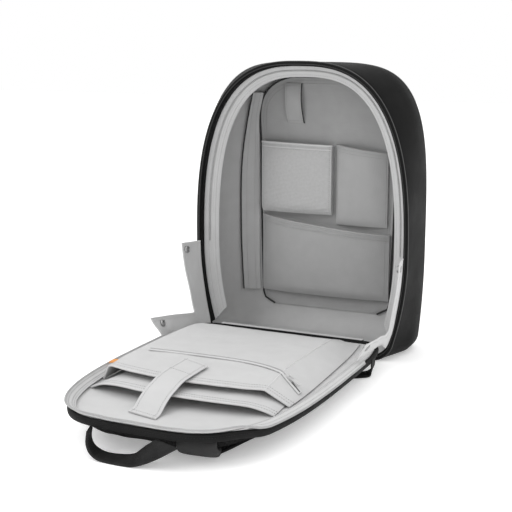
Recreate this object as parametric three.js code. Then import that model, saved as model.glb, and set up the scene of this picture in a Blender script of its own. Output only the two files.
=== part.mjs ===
// Anti-theft backpack, standing open: a moulded shell with its back panel folded down in front of it.
// Millimetres, +Z up, +Y towards the back of the shell, +X to the right of someone looking in.
// The origin is the middle of the shell's flat base.
import * as THREE from 'three';

// Driving sizes of the two halves. An outline stands on a flat base with round corners, widens up to
// its widest height and closes in a superellipse arch.
const RIM = {
  halfWidth: 176, height: 450, widest: 162, taper: 29, corner: 24, sidePower: 2.73, topPower: 2.66,
};
const PANEL = {
  halfWidth: 152.5, height: 474, widest: 167, taper: 3, corner: 26, sidePower: 4.2, topPower: 2.9,
};
const ORGANISER = {
  halfWidth: 117, height: 386, widest: 290, taper: 6, corner: 20, sidePower: 3, topPower: 3,
};
// The shell's body behind the rim: its sections grow squarer and lose the rim's taper down to the swell
// depth, and turn into the flat back over rounds of their own at the sides, the top and the base.
const SHELL = {
  depth: 130, swellDepth: 60, squarer: 1.35, taperLoss: 20, drop: 8, bulge: 2.3,
  sideRound: 49, topRound: 46, baseRound: 28, topSlope: 0.03,
};
const SHELL_STATIONS = [3, 30, 60, 86, 101, 114, 123, 128, 130];
const RIM_Y = -50;
const SHELL_FRONT = 3;
const LINING_FRONT = 3.2;
const SHELL_WALL = 3;
const LINING_WALL = 1.6;
const CLOTH = 1.5;
const WEBBING = 1.8;
const GAP = 0.4;
const TRIM_GAP = 0.6;
const CURVE_GAP = 1.4;
const PANEL_Y = -75;
const PANEL_Z = 27.7;
const PANEL_RISE = 0.0156;
const ORGANISER_FOOT = 40;

// Facets of an outline: steps round a base corner, up a side, and over half of the arch
const CORNER_STEPS = 4;
const SIDE_STEPS = 4;
const ARCH_STEPS = 10;

// Sections of the ring pieces: step in from the outline, then depth behind the rim or height on the panel
const RIM_BINDING = [
  { inset: 1, along: 2.6 }, { inset: 0, along: 1.2 }, { inset: 1.4, along: -0.4 },
  { inset: 5.6, along: -0.4 }, { inset: 6.6, along: 0.6 }, { inset: 6.2, along: 2.6 },
];
const RIM_FACING = [
  { inset: 6.5, along: 3.9 }, { inset: 6.5, along: 8 }, { inset: 6.7, along: 12 },
];
const COLLAR = [
  { inset: 7, along: 13.4 }, { inset: 13, along: 15.2 },
  { inset: 20, along: 19.2 }, { inset: 27.5, along: 24.9 },
];
// The collar is narrower at the top of the arch than at its sides
const COLLAR_TOP_SHARE = 0.8;
const PAD = [
  { inset: 32, along: -19 }, { inset: 22, along: -17.5 },
  { inset: 14, along: -10 }, { inset: 12, along: -GAP },
];
const PANEL_BINDING = [
  { inset: 1, along: 0 }, { inset: 0, along: 2.5 }, { inset: 0, along: 8.5 },
  { inset: 1, along: 10 }, { inset: 4.6, along: 10 }, { inset: 4.6, along: 0 },
];
const PANEL_LINING = [
  { inset: 5, along: 0 }, { inset: 5, along: 6 }, { inset: 16, along: 5 },
];
const PANEL_LIP = [
  { inset: 9.5, along: 8 }, { inset: 4, along: 12 }, { inset: -0.5, along: 15.5 },
];

const MATERIALS = {
  coated_black: new THREE.MeshStandardMaterial({ color: 0x2c2d2f, roughness: 0.5, metalness: 0 }),
  binding_black: new THREE.MeshStandardMaterial({ color: 0x1c1d1e, roughness: 0.7, metalness: 0 }),
  air_mesh: new THREE.MeshStandardMaterial({ color: 0x232426, roughness: 0.9, metalness: 0 }),
  webbing_black: new THREE.MeshStandardMaterial({ color: 0x202123, roughness: 0.8, metalness: 0 }),
  lining_grey: new THREE.MeshStandardMaterial({ color: 0xa9aaab, roughness: 0.85, metalness: 0 }),
  light_grey: new THREE.MeshStandardMaterial({ color: 0xd2d2d2, roughness: 0.8, metalness: 0 }),
  pocket_mesh: new THREE.MeshStandardMaterial({ color: 0xb9baba, roughness: 0.9, metalness: 0 }),
  zip_grey: new THREE.MeshStandardMaterial({ color: 0xbfc0c0, roughness: 0.45, metalness: 0 }),
  snap_metal: new THREE.MeshStandardMaterial({ color: 0x9fa1a3, roughness: 0.3, metalness: 0.9 }),
  plastic_black: new THREE.MeshStandardMaterial({ color: 0x1b1c1d, roughness: 0.4, metalness: 0 }),
  tab_orange: new THREE.MeshStandardMaterial({ color: 0xd9914f, roughness: 0.8, metalness: 0 }),
};

const vector = (x, y, z) => new THREE.Vector3(x, y, z);
const mix = (a, b, share) => a + (b - a) * share;
const smooth = (share) => share * share * (3 - 2 * share);
const clamp = (value) => Math.min(1, Math.max(0, value));

// Value of one named column of a table at a place along it, straight between the rows
function lookUp(table, place, at, column) {
  const last = table.length - 1;
  const found = table.findIndex((row) => row[place] >= at);
  const upper = Math.max(1, found < 0 ? last : found);
  const low = table[upper - 1];
  const high = table[upper];
  return mix(low[column], high[column], clamp((at - low[place]) / (high[place] - low[place])));
}

// Closed body from points and triangles, turned so that its faces point out
function body(points, triangles) {
  let volume = 0;
  for (const [a, b, c] of triangles) {
    volume += points[a].dot(points[b].clone().cross(points[c]));
  }
  const outward = volume < 0 ? triangles.map(([a, b, c]) => [a, c, b]) : triangles;
  const geometry = new THREE.BufferGeometry();
  const numbers = points.flatMap((point) => point.toArray());
  geometry.setAttribute('position', new THREE.Float32BufferAttribute(numbers, 3));
  geometry.setIndex(outward.flat());
  geometry.computeVertexNormals();
  return geometry;
}

// Skin through rings of equal count, split along the shorter diagonals: a closed profile joins the last ring
// to the first, and an open one closes both end rings with a fan round their middle
function skin(rings, closedProfile) {
  const count = rings[0].length;
  const points = rings.flat();
  const triangles = [];
  const spans = closedProfile ? rings.length : rings.length - 1;
  for (let row = 0; row < spans; row += 1) {
    const here = row * count;
    const there = ((row + 1) % rings.length) * count;
    for (let i = 0; i < count; i += 1) {
      const [a, b, c, d] = [here + i, here + (i + 1) % count, there + (i + 1) % count, there + i];
      if (points[a].distanceTo(points[c]) < points[b].distanceTo(points[d])) {
        triangles.push([a, b, c], [a, c, d]);
      } else {
        triangles.push([a, b, d], [b, c, d]);
      }
    }
  }
  if (!closedProfile) {
    for (const [ring, start, flip] of [[rings[0], 0, true], [rings.at(-1), count * spans, false]]) {
      const middle = ring.reduce((sum, point) => sum.add(point), vector(0, 0, 0)).divideScalar(count);
      const centre = points.push(middle) - 1;
      for (let i = 0; i < count; i += 1) {
        const j = (i + 1) % count;
        triangles.push(flip ? [start + j, start + i, centre] : [start + i, start + j, centre]);
      }
    }
  }
  return body(points, triangles);
}

// Cloth of even thickness about a grid of points
function sheet(grid, thickness) {
  const rows = grid.length;
  const columns = grid[0].length;
  const sides = [[], []];
  for (let r = 0; r < rows; r += 1) {
    for (let c = 0; c < columns; c += 1) {
      const along = grid[Math.min(r + 1, rows - 1)][c].clone().sub(grid[Math.max(r - 1, 0)][c]);
      const across = grid[r][Math.min(c + 1, columns - 1)].clone().sub(grid[r][Math.max(c - 1, 0)]);
      const normal = along.cross(across).setLength(thickness / 2);
      sides[0].push(grid[r][c].clone().add(normal));
      sides[1].push(grid[r][c].clone().sub(normal));
    }
  }
  const under = rows * columns;
  const triangles = [];
  for (let r = 0; r + 1 < rows; r += 1) {
    for (let c = 0; c + 1 < columns; c += 1) {
      const a = r * columns + c;
      const b = a + 1;
      const d = a + columns;
      const e = d + 1;
      triangles.push([a, d, b], [b, d, e]);
      triangles.push([under + a, under + b, under + d], [under + b, under + e, under + d]);
    }
  }
  const edge = [];
  for (let c = 0; c + 1 < columns; c += 1) edge.push(c);
  for (let r = 0; r + 1 < rows; r += 1) edge.push(r * columns + columns - 1);
  for (let c = columns - 1; c > 0; c -= 1) edge.push((rows - 1) * columns + c);
  for (let r = rows - 1; r > 0; r -= 1) edge.push(r * columns);
  edge.forEach((a, i) => {
    const b = edge[(i + 1) % edge.length];
    triangles.push([a, b, under + a], [b, under + b, under + a]);
  });
  return body([...sides[0], ...sides[1]], triangles);
}

// Outline of one half, from the right foot over the arch to the left foot, stepped in by three insets
function outline(size, side, top, base) {
  const halfWidth = size.halfWidth - side;
  const sideAt = (t) => halfWidth - size.taper * ((size.widest - t) / size.widest) ** 2;
  const right = [];
  for (let i = 0; i < CORNER_STEPS; i += 1) {
    const turn = (i / CORNER_STEPS) * Math.PI / 2;
    const t = base + size.corner * (1 - Math.cos(turn));
    right.push([sideAt(t) - size.corner * (1 - Math.sin(turn)), t]);
  }
  for (let i = 0; i < SIDE_STEPS; i += 1) {
    const t = mix(base + size.corner, size.widest, i / SIDE_STEPS);
    right.push([sideAt(t), t]);
  }
  for (let i = 0; i <= ARCH_STEPS; i += 1) {
    const turn = (i / ARCH_STEPS) * Math.PI / 2;
    const x = i < ARCH_STEPS ? halfWidth * Math.cos(turn) ** (2 / size.sidePower) : 0;
    right.push([x, size.widest + (size.height - top - size.widest) * Math.sin(turn) ** (2 / size.topPower)]);
  }
  const left = right.slice(0, -1).reverse().map(([x, t]) => [-x, t]);
  return [...right, ...left];
}

// Half-width of an outline at one height
function halfWidthAt(size, t) {
  if (t > size.widest) {
    const up = ((t - size.widest) / (size.height - size.widest)) ** size.topPower;
    return size.halfWidth * Math.max(0, 1 - up) ** (1 / size.sidePower);
  }
  const turn = Math.acos(clamp(1 - t / size.corner));
  const rounding = t < size.corner ? size.corner * (1 - Math.sin(turn)) : 0;
  return size.halfWidth - size.taper * ((size.widest - t) / size.widest) ** 2 - rounding;
}

const standing = (points, depth) => points.map(([x, t]) => vector(x, depth, t));
const lying = (points, height) => points.map(([x, t]) => vector(x, -t, height));
const evenInset = (size, inset) => outline(size, inset, inset, inset);

// Rings of the shell's form at an even distance inside its outside, from a front depth to the back
function shellRings(offset, front) {
  return SHELL_STATIONS.map((station, i) => {
    const swell = clamp(station / SHELL.swellDepth);
    const round = (radius) => {
      const past = Math.max(0, station - SHELL.depth + radius);
      return radius - Math.sqrt(radius ** 2 - past ** 2);
    };
    const size = {
      ...RIM,
      taper: RIM.taper - SHELL.taperLoss * swell,
      widest: RIM.widest - SHELL.drop * swell,
      sidePower: RIM.sidePower + SHELL.squarer * swell,
      topPower: RIM.topPower + SHELL.squarer * swell,
    };
    const side = round(SHELL.sideRound) - SHELL.bulge * swell + offset;
    const top = round(SHELL.topRound) + SHELL.topSlope * station + offset;
    const base = round(SHELL.baseRound) + offset;
    const depth = i === 0 ? front : station * (1 - offset / SHELL.depth);
    return standing(outline(size, side, top, base), depth);
  });
}

function bowl(outside, inside) {
  return skin([...inside.reverse(), ...outside], false);
}

// Band along part of an outline, leaving out a number of points at either foot. Its inset can differ at the
// top.
function archBand(size, profile, skipped, place, thickness, topInset = (inset) => inset) {
  const strips = profile.map(({ inset, along }) => {
    return place(outline(size, inset, topInset(inset), inset), along).slice(skipped, -skipped);
  });
  const grid = strips[0].map((_, i) => strips.map((strip) => strip[i]));
  return sheet(grid, thickness);
}

// Row of zip teeth as one low bead on a band, from its profile points and a lift off the band's surface
function liftProfile(profile, from, to, lift) {
  const low = profile[from];
  const high = profile[to];
  const run = Math.hypot(high.inset - low.inset, high.along - low.along);
  const shift = {
    inset: (high.along - low.along) / run * lift,
    along: -(high.inset - low.inset) / run * lift,
  };
  return [low, high].map((row) => ({ inset: row.inset + shift.inset, along: row.along + shift.along }));
}

const backpack = new THREE.Group();
const shell = new THREE.Group();
shell.position.y = RIM_Y;
const panel = new THREE.Group();
panel.position.set(0, PANEL_Y, PANEL_Z);
panel.rotation.x = -PANEL_RISE;
backpack.add(shell, panel);

function add(group, name, geometry, material) {
  const mesh = new THREE.Mesh(geometry, MATERIALS[material]);
  mesh.name = name;
  group.add(mesh);
  return mesh;
}

// Shell, its rim and its lining
const shellOutside = shellRings(0, SHELL_FRONT);
const shellInside = shellRings(SHELL_WALL, SHELL_FRONT);
add(shell, 'outer_shell', bowl(shellOutside, shellInside), 'coated_black');
const BINDING_FOOT = 1;
const bindingRings = RIM_BINDING.map(({ inset, along }) => {
  return standing(outline(RIM, inset, inset, inset + BINDING_FOOT), along);
});
add(shell, 'rim_binding', skin(bindingRings, true), 'binding_black');
const liningOutside = shellRings(SHELL_WALL + GAP, LINING_FRONT);
const liningInside = shellRings(SHELL_WALL + GAP + LINING_WALL, LINING_FRONT);
add(shell, 'shell_lining', bowl(liningOutside, liningInside), 'lining_grey');
const collarFoot = CORNER_STEPS;
add(shell, 'rim_facing', archBand(RIM, RIM_FACING, collarFoot, standing, CLOTH), 'binding_black');
const collarTop = (inset) => mix(COLLAR[0].inset, inset, COLLAR_TOP_SHARE);
add(shell, 'rim_collar', archBand(RIM, COLLAR, collarFoot, standing, CLOTH, collarTop), 'light_grey');
const CHAIN = { thickness: 1.2, margin: 0.3 };
const chainEdges = liftProfile(COLLAR, 1, 2, CLOTH / 2 + GAP + CHAIN.thickness / 2);
const chainProfile = chainEdges.map((row, i) => {
  const other = chainEdges[1 - i];
  return {
    inset: mix(row.inset, other.inset, CHAIN.margin),
    along: mix(row.along, other.along, CHAIN.margin),
  };
});
const chainFoot = CORNER_STEPS + SIDE_STEPS;
const chain = archBand(RIM, chainProfile, chainFoot, standing, CHAIN.thickness, collarTop);
add(shell, 'shell_zip_chain', chain, 'zip_grey');

// Organiser on the back of the shell: a flat panel whose top leans forward under the shell's round shoulder
const ORGANISER_BACK = {
  depth: 123.6, lean: 16.6, leanFrom: 310, leanTo: 424, rows: 18, rowPower: 0.8, crown: 0.985,
};
function organiserDepth(z) {
  const share = clamp((z - ORGANISER_BACK.leanFrom) / (ORGANISER_BACK.leanTo - ORGANISER_BACK.leanFrom));
  return ORGANISER_BACK.depth - ORGANISER_BACK.lean * smooth(share);
}
function organiserGrid() {
  const grid = [];
  for (let i = 0; i <= ORGANISER_BACK.rows; i += 1) {
    const share = (i / ORGANISER_BACK.rows) ** ORGANISER_BACK.rowPower;
    const t = ORGANISER.height * ORGANISER_BACK.crown * share;
    const z = ORGANISER_FOOT + t;
    grid.push([-1, 0, 1].map((side) => vector(side * halfWidthAt(ORGANISER, t), organiserDepth(z), z)));
  }
  return grid;
}
add(shell, 'organiser_panel', sheet(organiserGrid(), CLOTH), 'lining_grey');

// Open-topped pocket on the organiser: a cup with a flat back and a bulging front
const POCKET_LEVELS = [0, 0.35, 0.7, 1];
function pocketRing(pocket, level, inset) {
  const backs = [];
  const fronts = [];
  for (let i = 0; i <= pocket.steps; i += 1) {
    const share = i / pocket.steps;
    const x = mix(pocket.left + inset, pocket.right - inset, share);
    const hem = mix(pocket.hemLeft, pocket.hemRight, share);
    const z = mix(pocket.foot + inset, hem, level);
    const back = organiserDepth(z) - CLOTH / 2 - 2 * GAP;
    const side = 1 - Math.abs(2 * share - 1) ** pocket.power;
    const bulge = pocket.depth * mix(pocket.footShare, 1, level) * side;
    backs.push(vector(x, back - inset, z));
    fronts.push(vector(x, back - pocket.edge - bulge + inset, z));
  }
  return [...backs, ...fronts.reverse()];
}
function pocketCup(pocket) {
  const outside = POCKET_LEVELS.map((level) => pocketRing(pocket, level, 0));
  const inside = POCKET_LEVELS.map((level) => pocketRing(pocket, level, CLOTH));
  return skin([...outside, ...inside.reverse()], false);
}
const POCKETS = {
  mesh_pocket: {
    left: -110, right: 13, foot: 200, hemLeft: 316, hemRight: 313,
    edge: 13, depth: 4, footShare: 0.7, power: 2, steps: 6,
  },
  slip_pocket: {
    left: 19, right: 106, foot: 185, hemLeft: 314, hemRight: 304,
    edge: 4, depth: 12, footShare: 0.5, power: 2.4, steps: 7,
  },
  lower_pocket: {
    left: -111, right: 111, foot: 64, hemLeft: 193, hemRight: 172,
    edge: 5, depth: 22, footShare: 0.5, power: 3, steps: 10,
  },
};
const POCKET_CLOTH = { mesh_pocket: 'pocket_mesh', slip_pocket: 'lining_grey', lower_pocket: 'lining_grey' };
for (const [name, pocket] of Object.entries(POCKETS)) {
  add(shell, name, pocketCup(pocket), POCKET_CLOTH[name]);
}

// Elastic loop for cables, sewn at its top and foot and standing clear between them
const CABLE_LOOP = { left: -66, right: -38, foot: 348, top: 412, rise: 7, power: 0.7, steps: 8 };
function cableLoopGrid() {
  const grid = [];
  for (let i = 0; i <= CABLE_LOOP.steps; i += 1) {
    const share = i / CABLE_LOOP.steps;
    const z = mix(CABLE_LOOP.foot, CABLE_LOOP.top, share);
    const lift = CLOTH + 2 * GAP + CABLE_LOOP.rise * Math.sin(Math.PI * share) ** CABLE_LOOP.power;
    const depth = organiserDepth(z) - lift;
    grid.push([vector(CABLE_LOOP.left, depth, z), vector(CABLE_LOOP.right, depth, z)]);
  }
  return grid;
}
add(shell, 'cable_loop', sheet(cableLoopGrid(), CLOTH), 'lining_grey');

// Tall sleeve on each round side of the shell: its back edge is sewn beside the organiser, and its front
// edge is free
const SLEEVE_ROWS = [
  { z: 62, sewnX: 118, sewnDepth: 123, freeX: 145, freeDepth: 113 },
  { z: 140, sewnX: 120, sewnDepth: 123, freeX: 149, freeDepth: 113 },
  { z: 220, sewnX: 120, sewnDepth: 123, freeX: 150, freeDepth: 113 },
  { z: 290, sewnX: 120, sewnDepth: 123, freeX: 147, freeDepth: 113 },
  { z: 350, sewnX: 118, sewnDepth: 116, freeX: 137, freeDepth: 111 },
  { z: 396, sewnX: 106, sewnDepth: 107, freeX: 123, freeDepth: 101 },
];
const SLEEVE_BELLY = { acrossShare: 0.55, depthShare: 0.45 };
for (const [name, side] of [['side_sleeve_left', -1], ['side_sleeve_right', 1]]) {
  const grid = SLEEVE_ROWS.map((row) => {
    const bellyX = mix(row.sewnX, row.freeX, SLEEVE_BELLY.acrossShare);
    const bellyDepth = mix(row.sewnDepth, row.freeDepth, SLEEVE_BELLY.depthShare);
    return [
      vector(side * row.sewnX, row.sewnDepth, row.z),
      vector(side * bellyX, bellyDepth, row.z),
      vector(side * row.freeX, row.freeDepth, row.z),
    ];
  });
  add(shell, name, sheet(grid, CLOTH), 'lining_grey');
}

// Hinge between the two halves: light cloth inside, black cloth outside
const HINGE_HALF = 118;
const HINGE_INSIDE = [
  { y: -44, z: 6.4 }, { y: -47.5, z: 11.8 }, { y: -54, z: 15 },
  { y: -66, z: 28 }, { y: -70.5, z: 37.4 }, { y: -78, z: 39.2 },
];
const HINGE_OUTSIDE = [
  { y: -51.5, z: 3.5 }, { y: -57, z: 6 }, { y: -66, z: 15 }, { y: -76, z: 26.7 },
];
function hingeGrid(rows) {
  return rows.map(({ y, z }) => [-1, 0, 1].map((side) => vector(side * HINGE_HALF, y, z)));
}
add(backpack, 'hinge_lining', sheet(hingeGrid(HINGE_INSIDE), CLOTH), 'light_grey');
add(backpack, 'hinge_cover', sheet(hingeGrid(HINGE_OUTSIDE), CLOTH), 'coated_black');

// Side gussets: one bent web of cloth at each hinge corner, from the rim's side to the panel's side.
// Each row runs from the sewn edge to the free edge, from the top end round the corner to the far end.
const GUSSET_ROWS = [
  { sewnX: 169.5, sewnY: -51.2, sewnZ: 163, freeX: 179, freeY: -95, freeZ: 166 },
  { sewnX: 168, sewnY: -51.2, sewnZ: 130, freeX: 175, freeY: -93, freeZ: 128 },
  { sewnX: 163, sewnY: -51.2, sewnZ: 90, freeX: 168, freeY: -90, freeZ: 90 },
  { sewnX: 156, sewnY: -51.2, sewnZ: 50, freeX: 163, freeY: -89, freeZ: 62 },
  { sewnX: 149, sewnY: -60, sewnZ: 26, freeX: 159, freeY: -95, freeZ: 55 },
  { sewnX: 151.6, sewnY: -88, sewnZ: 33, freeX: 158.5, freeY: -108, freeZ: 57 },
  { sewnX: 152.9, sewnY: -140, sewnZ: 34.5, freeX: 164, freeY: -150, freeZ: 64 },
  { sewnX: 153.7, sewnY: -196, sewnZ: 35.5, freeX: 169.5, freeY: -212, freeZ: 73 },
];
const SNAP = { radius: 5.5, edge: 1.2, shoulder: 4, height: 2, crown: 3.2, sides: 12 };
const SNAP_PLACES = [
  { name: 'upper', row: 0, toward: 1, along: 0.28, across: 0.8 },
  { name: 'lower', row: 7, toward: 6, along: 0.3, across: 0.72 },
];
const snapProfile = [
  new THREE.Vector2(0, 0), new THREE.Vector2(SNAP.radius, 0), new THREE.Vector2(SNAP.radius, SNAP.edge),
  new THREE.Vector2(SNAP.shoulder, SNAP.height), new THREE.Vector2(0, SNAP.crown),
];
for (const [sideName, side] of [['left', -1], ['right', 1]]) {
  const grid = GUSSET_ROWS.map((row) => {
    const sewn = vector(side * row.sewnX, row.sewnY, row.sewnZ);
    const free = vector(side * row.freeX, row.freeY, row.freeZ);
    return [sewn, sewn.clone().lerp(free, 0.5), free];
  });
  add(backpack, `gusset_${sideName}`, sheet(grid, CLOTH), 'light_grey');
  for (const place of SNAP_PLACES) {
    const at = (row, across) => grid[row][0].clone().lerp(grid[row][2], across);
    const here = at(place.row, place.across).lerp(at(place.toward, place.across), place.along);
    const along = at(place.toward, place.across).sub(at(place.row, place.across));
    const across = at(place.row, 1).sub(at(place.row, 0));
    const inward = along.cross(across).normalize();
    inward.multiplyScalar(-Math.sign(inward.x) * side);
    const stud = new THREE.LatheGeometry(snapProfile, SNAP.sides);
    const snap = add(backpack, `snap_${sideName}_${place.name}`, stud, 'snap_metal');
    snap.quaternion.setFromUnitVectors(vector(0, 1, 0), inward);
    snap.position.copy(here).addScaledVector(inward, CLOTH / 2 + TRIM_GAP);
  }
}

// Back panel: padded core, bound edge, lining and the standing lip that carries the zip
const lyingRings = (profile) => profile.map((row) => lying(evenInset(PANEL, row.inset), row.along));
add(panel, 'panel_pad', skin(lyingRings(PAD), false), 'air_mesh');
add(panel, 'panel_binding', skin(lyingRings(PANEL_BINDING), true), 'binding_black');
add(panel, 'panel_lining', skin(lyingRings(PANEL_LINING), false), 'light_grey');
const lipFoot = CORNER_STEPS + 2;
add(panel, 'panel_zip_lip', archBand(PANEL, PANEL_LIP, lipFoot, lying, CLOTH), 'light_grey');
const lipTop = PANEL_LIP.at(-1);
const TEETH = { near: 0.6, far: 2.1, thickness: 1.8 };
const panelChain = [TEETH.near, TEETH.far].map((reach) => {
  return { inset: lipTop.inset - reach, along: lipTop.along + reach };
});
add(panel, 'panel_zip_chain', archBand(PANEL, panelChain, lipFoot, lying, TEETH.thickness), 'zip_grey');

// Laptop sleeve: one sheet sewn down at both sides and at the hinge end, open at the far end
const LAPTOP = {
  half: 130, hingeHalf: 104, start: 22, edge: 360, bow: 21, seat: 6.5, rise: 13, rampShare: 1 / 3,
  sidePower: 6, steps: 9,
};
const LAPTOP_COLUMNS = [-1, -0.95, -0.8, -0.4, 0, 0.4, 0.8, 0.95, 1];
const bowedEdge = (pocket, x) => pocket.edge + pocket.bow * (1 - (x / pocket.half) ** 2);
function laptopPoint(across, along) {
  const x = across * mix(LAPTOP.hingeHalf, LAPTOP.half, along);
  const ramp = Math.sin(clamp(along / LAPTOP.rampShare) * Math.PI / 2);
  const height = LAPTOP.rise * (1 - Math.abs(across) ** LAPTOP.sidePower) * ramp;
  return vector(x, -mix(LAPTOP.start, bowedEdge(LAPTOP, x), along), LAPTOP.seat + height);
}
function laptopGrid() {
  const grid = [];
  for (let i = 0; i <= LAPTOP.steps; i += 1) {
    grid.push(LAPTOP_COLUMNS.map((across) => laptopPoint(across, i / LAPTOP.steps)));
  }
  return grid;
}
add(panel, 'laptop_sleeve', sheet(laptopGrid(), CLOTH), 'light_grey');

// Zipped pocket over it: a low box top with sloping sides, whose far edge is the mouth of the tablet sleeve.
// Rows run from the hinge end to the far edge.
const POCKET = { half: 137, start: 13, edge: 320, bow: 26, seat: 6.8, crown: 1.2, crownShare: 0.25 };
const POCKET_ROWS = [
  { along: 0, top: 7.6, leftFoot: -128, leftCrease: -114, rightCrease: 92, rightFoot: 118 },
  { along: 0.1, top: 18, leftFoot: -134, leftCrease: -120, rightCrease: 94, rightFoot: 122 },
  { along: 0.22, top: 27, leftFoot: -138, leftCrease: -125, rightCrease: 96, rightFoot: 126 },
  { along: 0.5, top: 29.5, leftFoot: -138, leftCrease: -126, rightCrease: 96, rightFoot: 131 },
  { along: 0.72, top: 30, leftFoot: -138, leftCrease: -126, rightCrease: 97, rightFoot: 134 },
  { along: 0.86, top: 29.4, leftFoot: -137, leftCrease: -126, rightCrease: 101, rightFoot: 135 },
  { along: 1, top: 27.5, leftFoot: -136, leftCrease: -125, rightCrease: 104, rightFoot: 134 },
];
const POCKET_STOPS = [0, 0.25, 0.5, 0.75, 1];
function pocketPoint(x, along) {
  const at = (column) => lookUp(POCKET_ROWS, 'along', along, column);
  const top = at('top');
  const left = clamp((x - at('leftFoot')) / (at('leftCrease') - at('leftFoot')));
  const right = clamp((at('rightFoot') - x) / (at('rightFoot') - at('rightCrease')));
  const crown = POCKET.crown * (1 - (x / POCKET.half) ** 2) * clamp(along / POCKET.crownShare);
  const height = mix(POCKET.seat, top + crown, Math.min(left, right));
  return vector(x, -mix(POCKET.start, bowedEdge(POCKET, x), along), height);
}
function pocketGrid() {
  const stops = POCKET_ROWS.flatMap(({ along }, i) => {
    const next = POCKET_ROWS[i + 1];
    return next ? [along, mix(along, next.along, 0.5)] : [along];
  });
  return stops.map((along) => {
    const at = (column) => lookUp(POCKET_ROWS, 'along', along, column);
    const tops = POCKET_STOPS.map((share) => mix(at('leftCrease'), at('rightCrease'), share));
    return [at('leftFoot'), ...tops, at('rightFoot')].map((x) => pocketPoint(x, along));
  });
}
add(panel, 'zip_pocket', sheet(pocketGrid(), CLOTH), 'light_grey');

// Zip across the pocket, turning towards the far edge on the right slope
const ZIP = { half: 0.0095, steps: 16, thickness: 0.9 };
const ZIP_ROWS = [
  { x: -106, distance: 249 }, { x: 0, distance: 246 }, { x: 50, distance: 249 },
  { x: 79, distance: 257 }, { x: 111, distance: 273 }, { x: 130, distance: 281 },
];
const zipLift = CLOTH / 2 + CURVE_GAP + ZIP.thickness / 2;
function zipAlong(x) {
  const distance = lookUp(ZIP_ROWS, 'x', x, 'distance');
  return (distance - POCKET.start) / (bowedEdge(POCKET, x) - POCKET.start);
}
function pocketNormal(x, along) {
  const stepX = 1;
  const stepAlong = 0.01;
  const across = pocketPoint(x + stepX, along).sub(pocketPoint(x - stepX, along));
  const down = pocketPoint(x, along + stepAlong).sub(pocketPoint(x, along - stepAlong));
  return down.cross(across).normalize();
}
function onPocket(x, along, lift) {
  return pocketPoint(x, along).addScaledVector(pocketNormal(x, along), lift);
}
function zipGrid() {
  const grid = [];
  for (let i = 0; i <= ZIP.steps; i += 1) {
    const x = mix(ZIP_ROWS[0].x, ZIP_ROWS.at(-1).x, i / ZIP.steps);
    grid.push([-ZIP.half, ZIP.half].map((side) => onPocket(x, zipAlong(x) + side, zipLift)));
  }
  return grid;
}
add(panel, 'pocket_zip', sheet(zipGrid(), ZIP.thickness), 'zip_grey');

// Zip slider with a bridge, and a pull whose crossbar turns under it. Both lie on the pocket's right slope.
const SLIDER = {
  x: 110, length: 11, base: 1.6, bridge: 5.4, bridgeHalf: 3, bridgeTop: 2.4, hole: 1.5, holeHeight: 3.3,
};
const PULL = { length: 17, halfWidth: 3.4, corner: 2, arm: 1.6, bar: 0.65, thickness: 1.2, window: 4.6 };
const sliderGroup = new THREE.Group();
sliderGroup.position.copy(onPocket(SLIDER.x, zipAlong(SLIDER.x), zipLift + ZIP.thickness / 2 + GAP));
const slopeNormal = pocketNormal(SLIDER.x, zipAlong(SLIDER.x));
sliderGroup.rotation.y = Math.atan2(slopeNormal.x, slopeNormal.z);
panel.add(sliderGroup);

// Side view of the slider, pushed out across the zip
function sliderGeometry() {
  const half = SLIDER.length / 2;
  const side = new THREE.Shape();
  side.moveTo(-half, 0);
  side.lineTo(half, 0);
  side.lineTo(half, SLIDER.base);
  side.lineTo(SLIDER.bridgeHalf, SLIDER.base);
  side.lineTo(SLIDER.bridgeTop, SLIDER.bridge);
  side.lineTo(-SLIDER.bridgeTop, SLIDER.bridge);
  side.lineTo(-SLIDER.bridgeHalf, SLIDER.base);
  side.lineTo(-half, SLIDER.base);
  const hole = new THREE.Path();
  hole.absarc(0, SLIDER.holeHeight, SLIDER.hole, 0, 2 * Math.PI, true);
  side.holes.push(hole);
  const bridgeWidth = 2 * (PULL.halfWidth - PULL.arm - GAP);
  const push = { depth: bridgeWidth, bevelEnabled: false, curveSegments: 5 };
  const geometry = new THREE.ExtrudeGeometry(side, push);
  geometry.rotateX(Math.PI / 2);
  geometry.translate(0, bridgeWidth / 2, 0);
  return geometry;
}
add(sliderGroup, 'pocket_zip_slider', sliderGeometry(), 'zip_grey');

// Flat view of the pull: a tab with a window that leaves the crossbar at its turning end
function pullGeometry() {
  const round = PULL.corner;
  const wide = PULL.halfWidth;
  const inside = wide - PULL.arm;
  const tab = new THREE.Shape();
  tab.moveTo(-PULL.bar, -wide);
  tab.lineTo(PULL.length - round, -wide);
  tab.absarc(PULL.length - round, -wide + round, round, -Math.PI / 2, 0, false);
  tab.absarc(PULL.length - round, wide - round, round, 0, Math.PI / 2, false);
  tab.lineTo(-PULL.bar, wide);
  const opening = new THREE.Path();
  opening.moveTo(PULL.bar, -inside);
  opening.lineTo(PULL.bar, inside);
  opening.lineTo(PULL.window, inside);
  opening.lineTo(PULL.window, -inside);
  tab.holes.push(opening);
  const push = { depth: PULL.thickness, bevelEnabled: false, curveSegments: 3 };
  const geometry = new THREE.ExtrudeGeometry(tab, push);
  geometry.translate(0, 0, -PULL.thickness / 2);
  return geometry;
}
const pull = add(sliderGroup, 'pocket_zip_pull', pullGeometry(), 'zip_grey');
pull.position.z = SLIDER.holeHeight;

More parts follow.
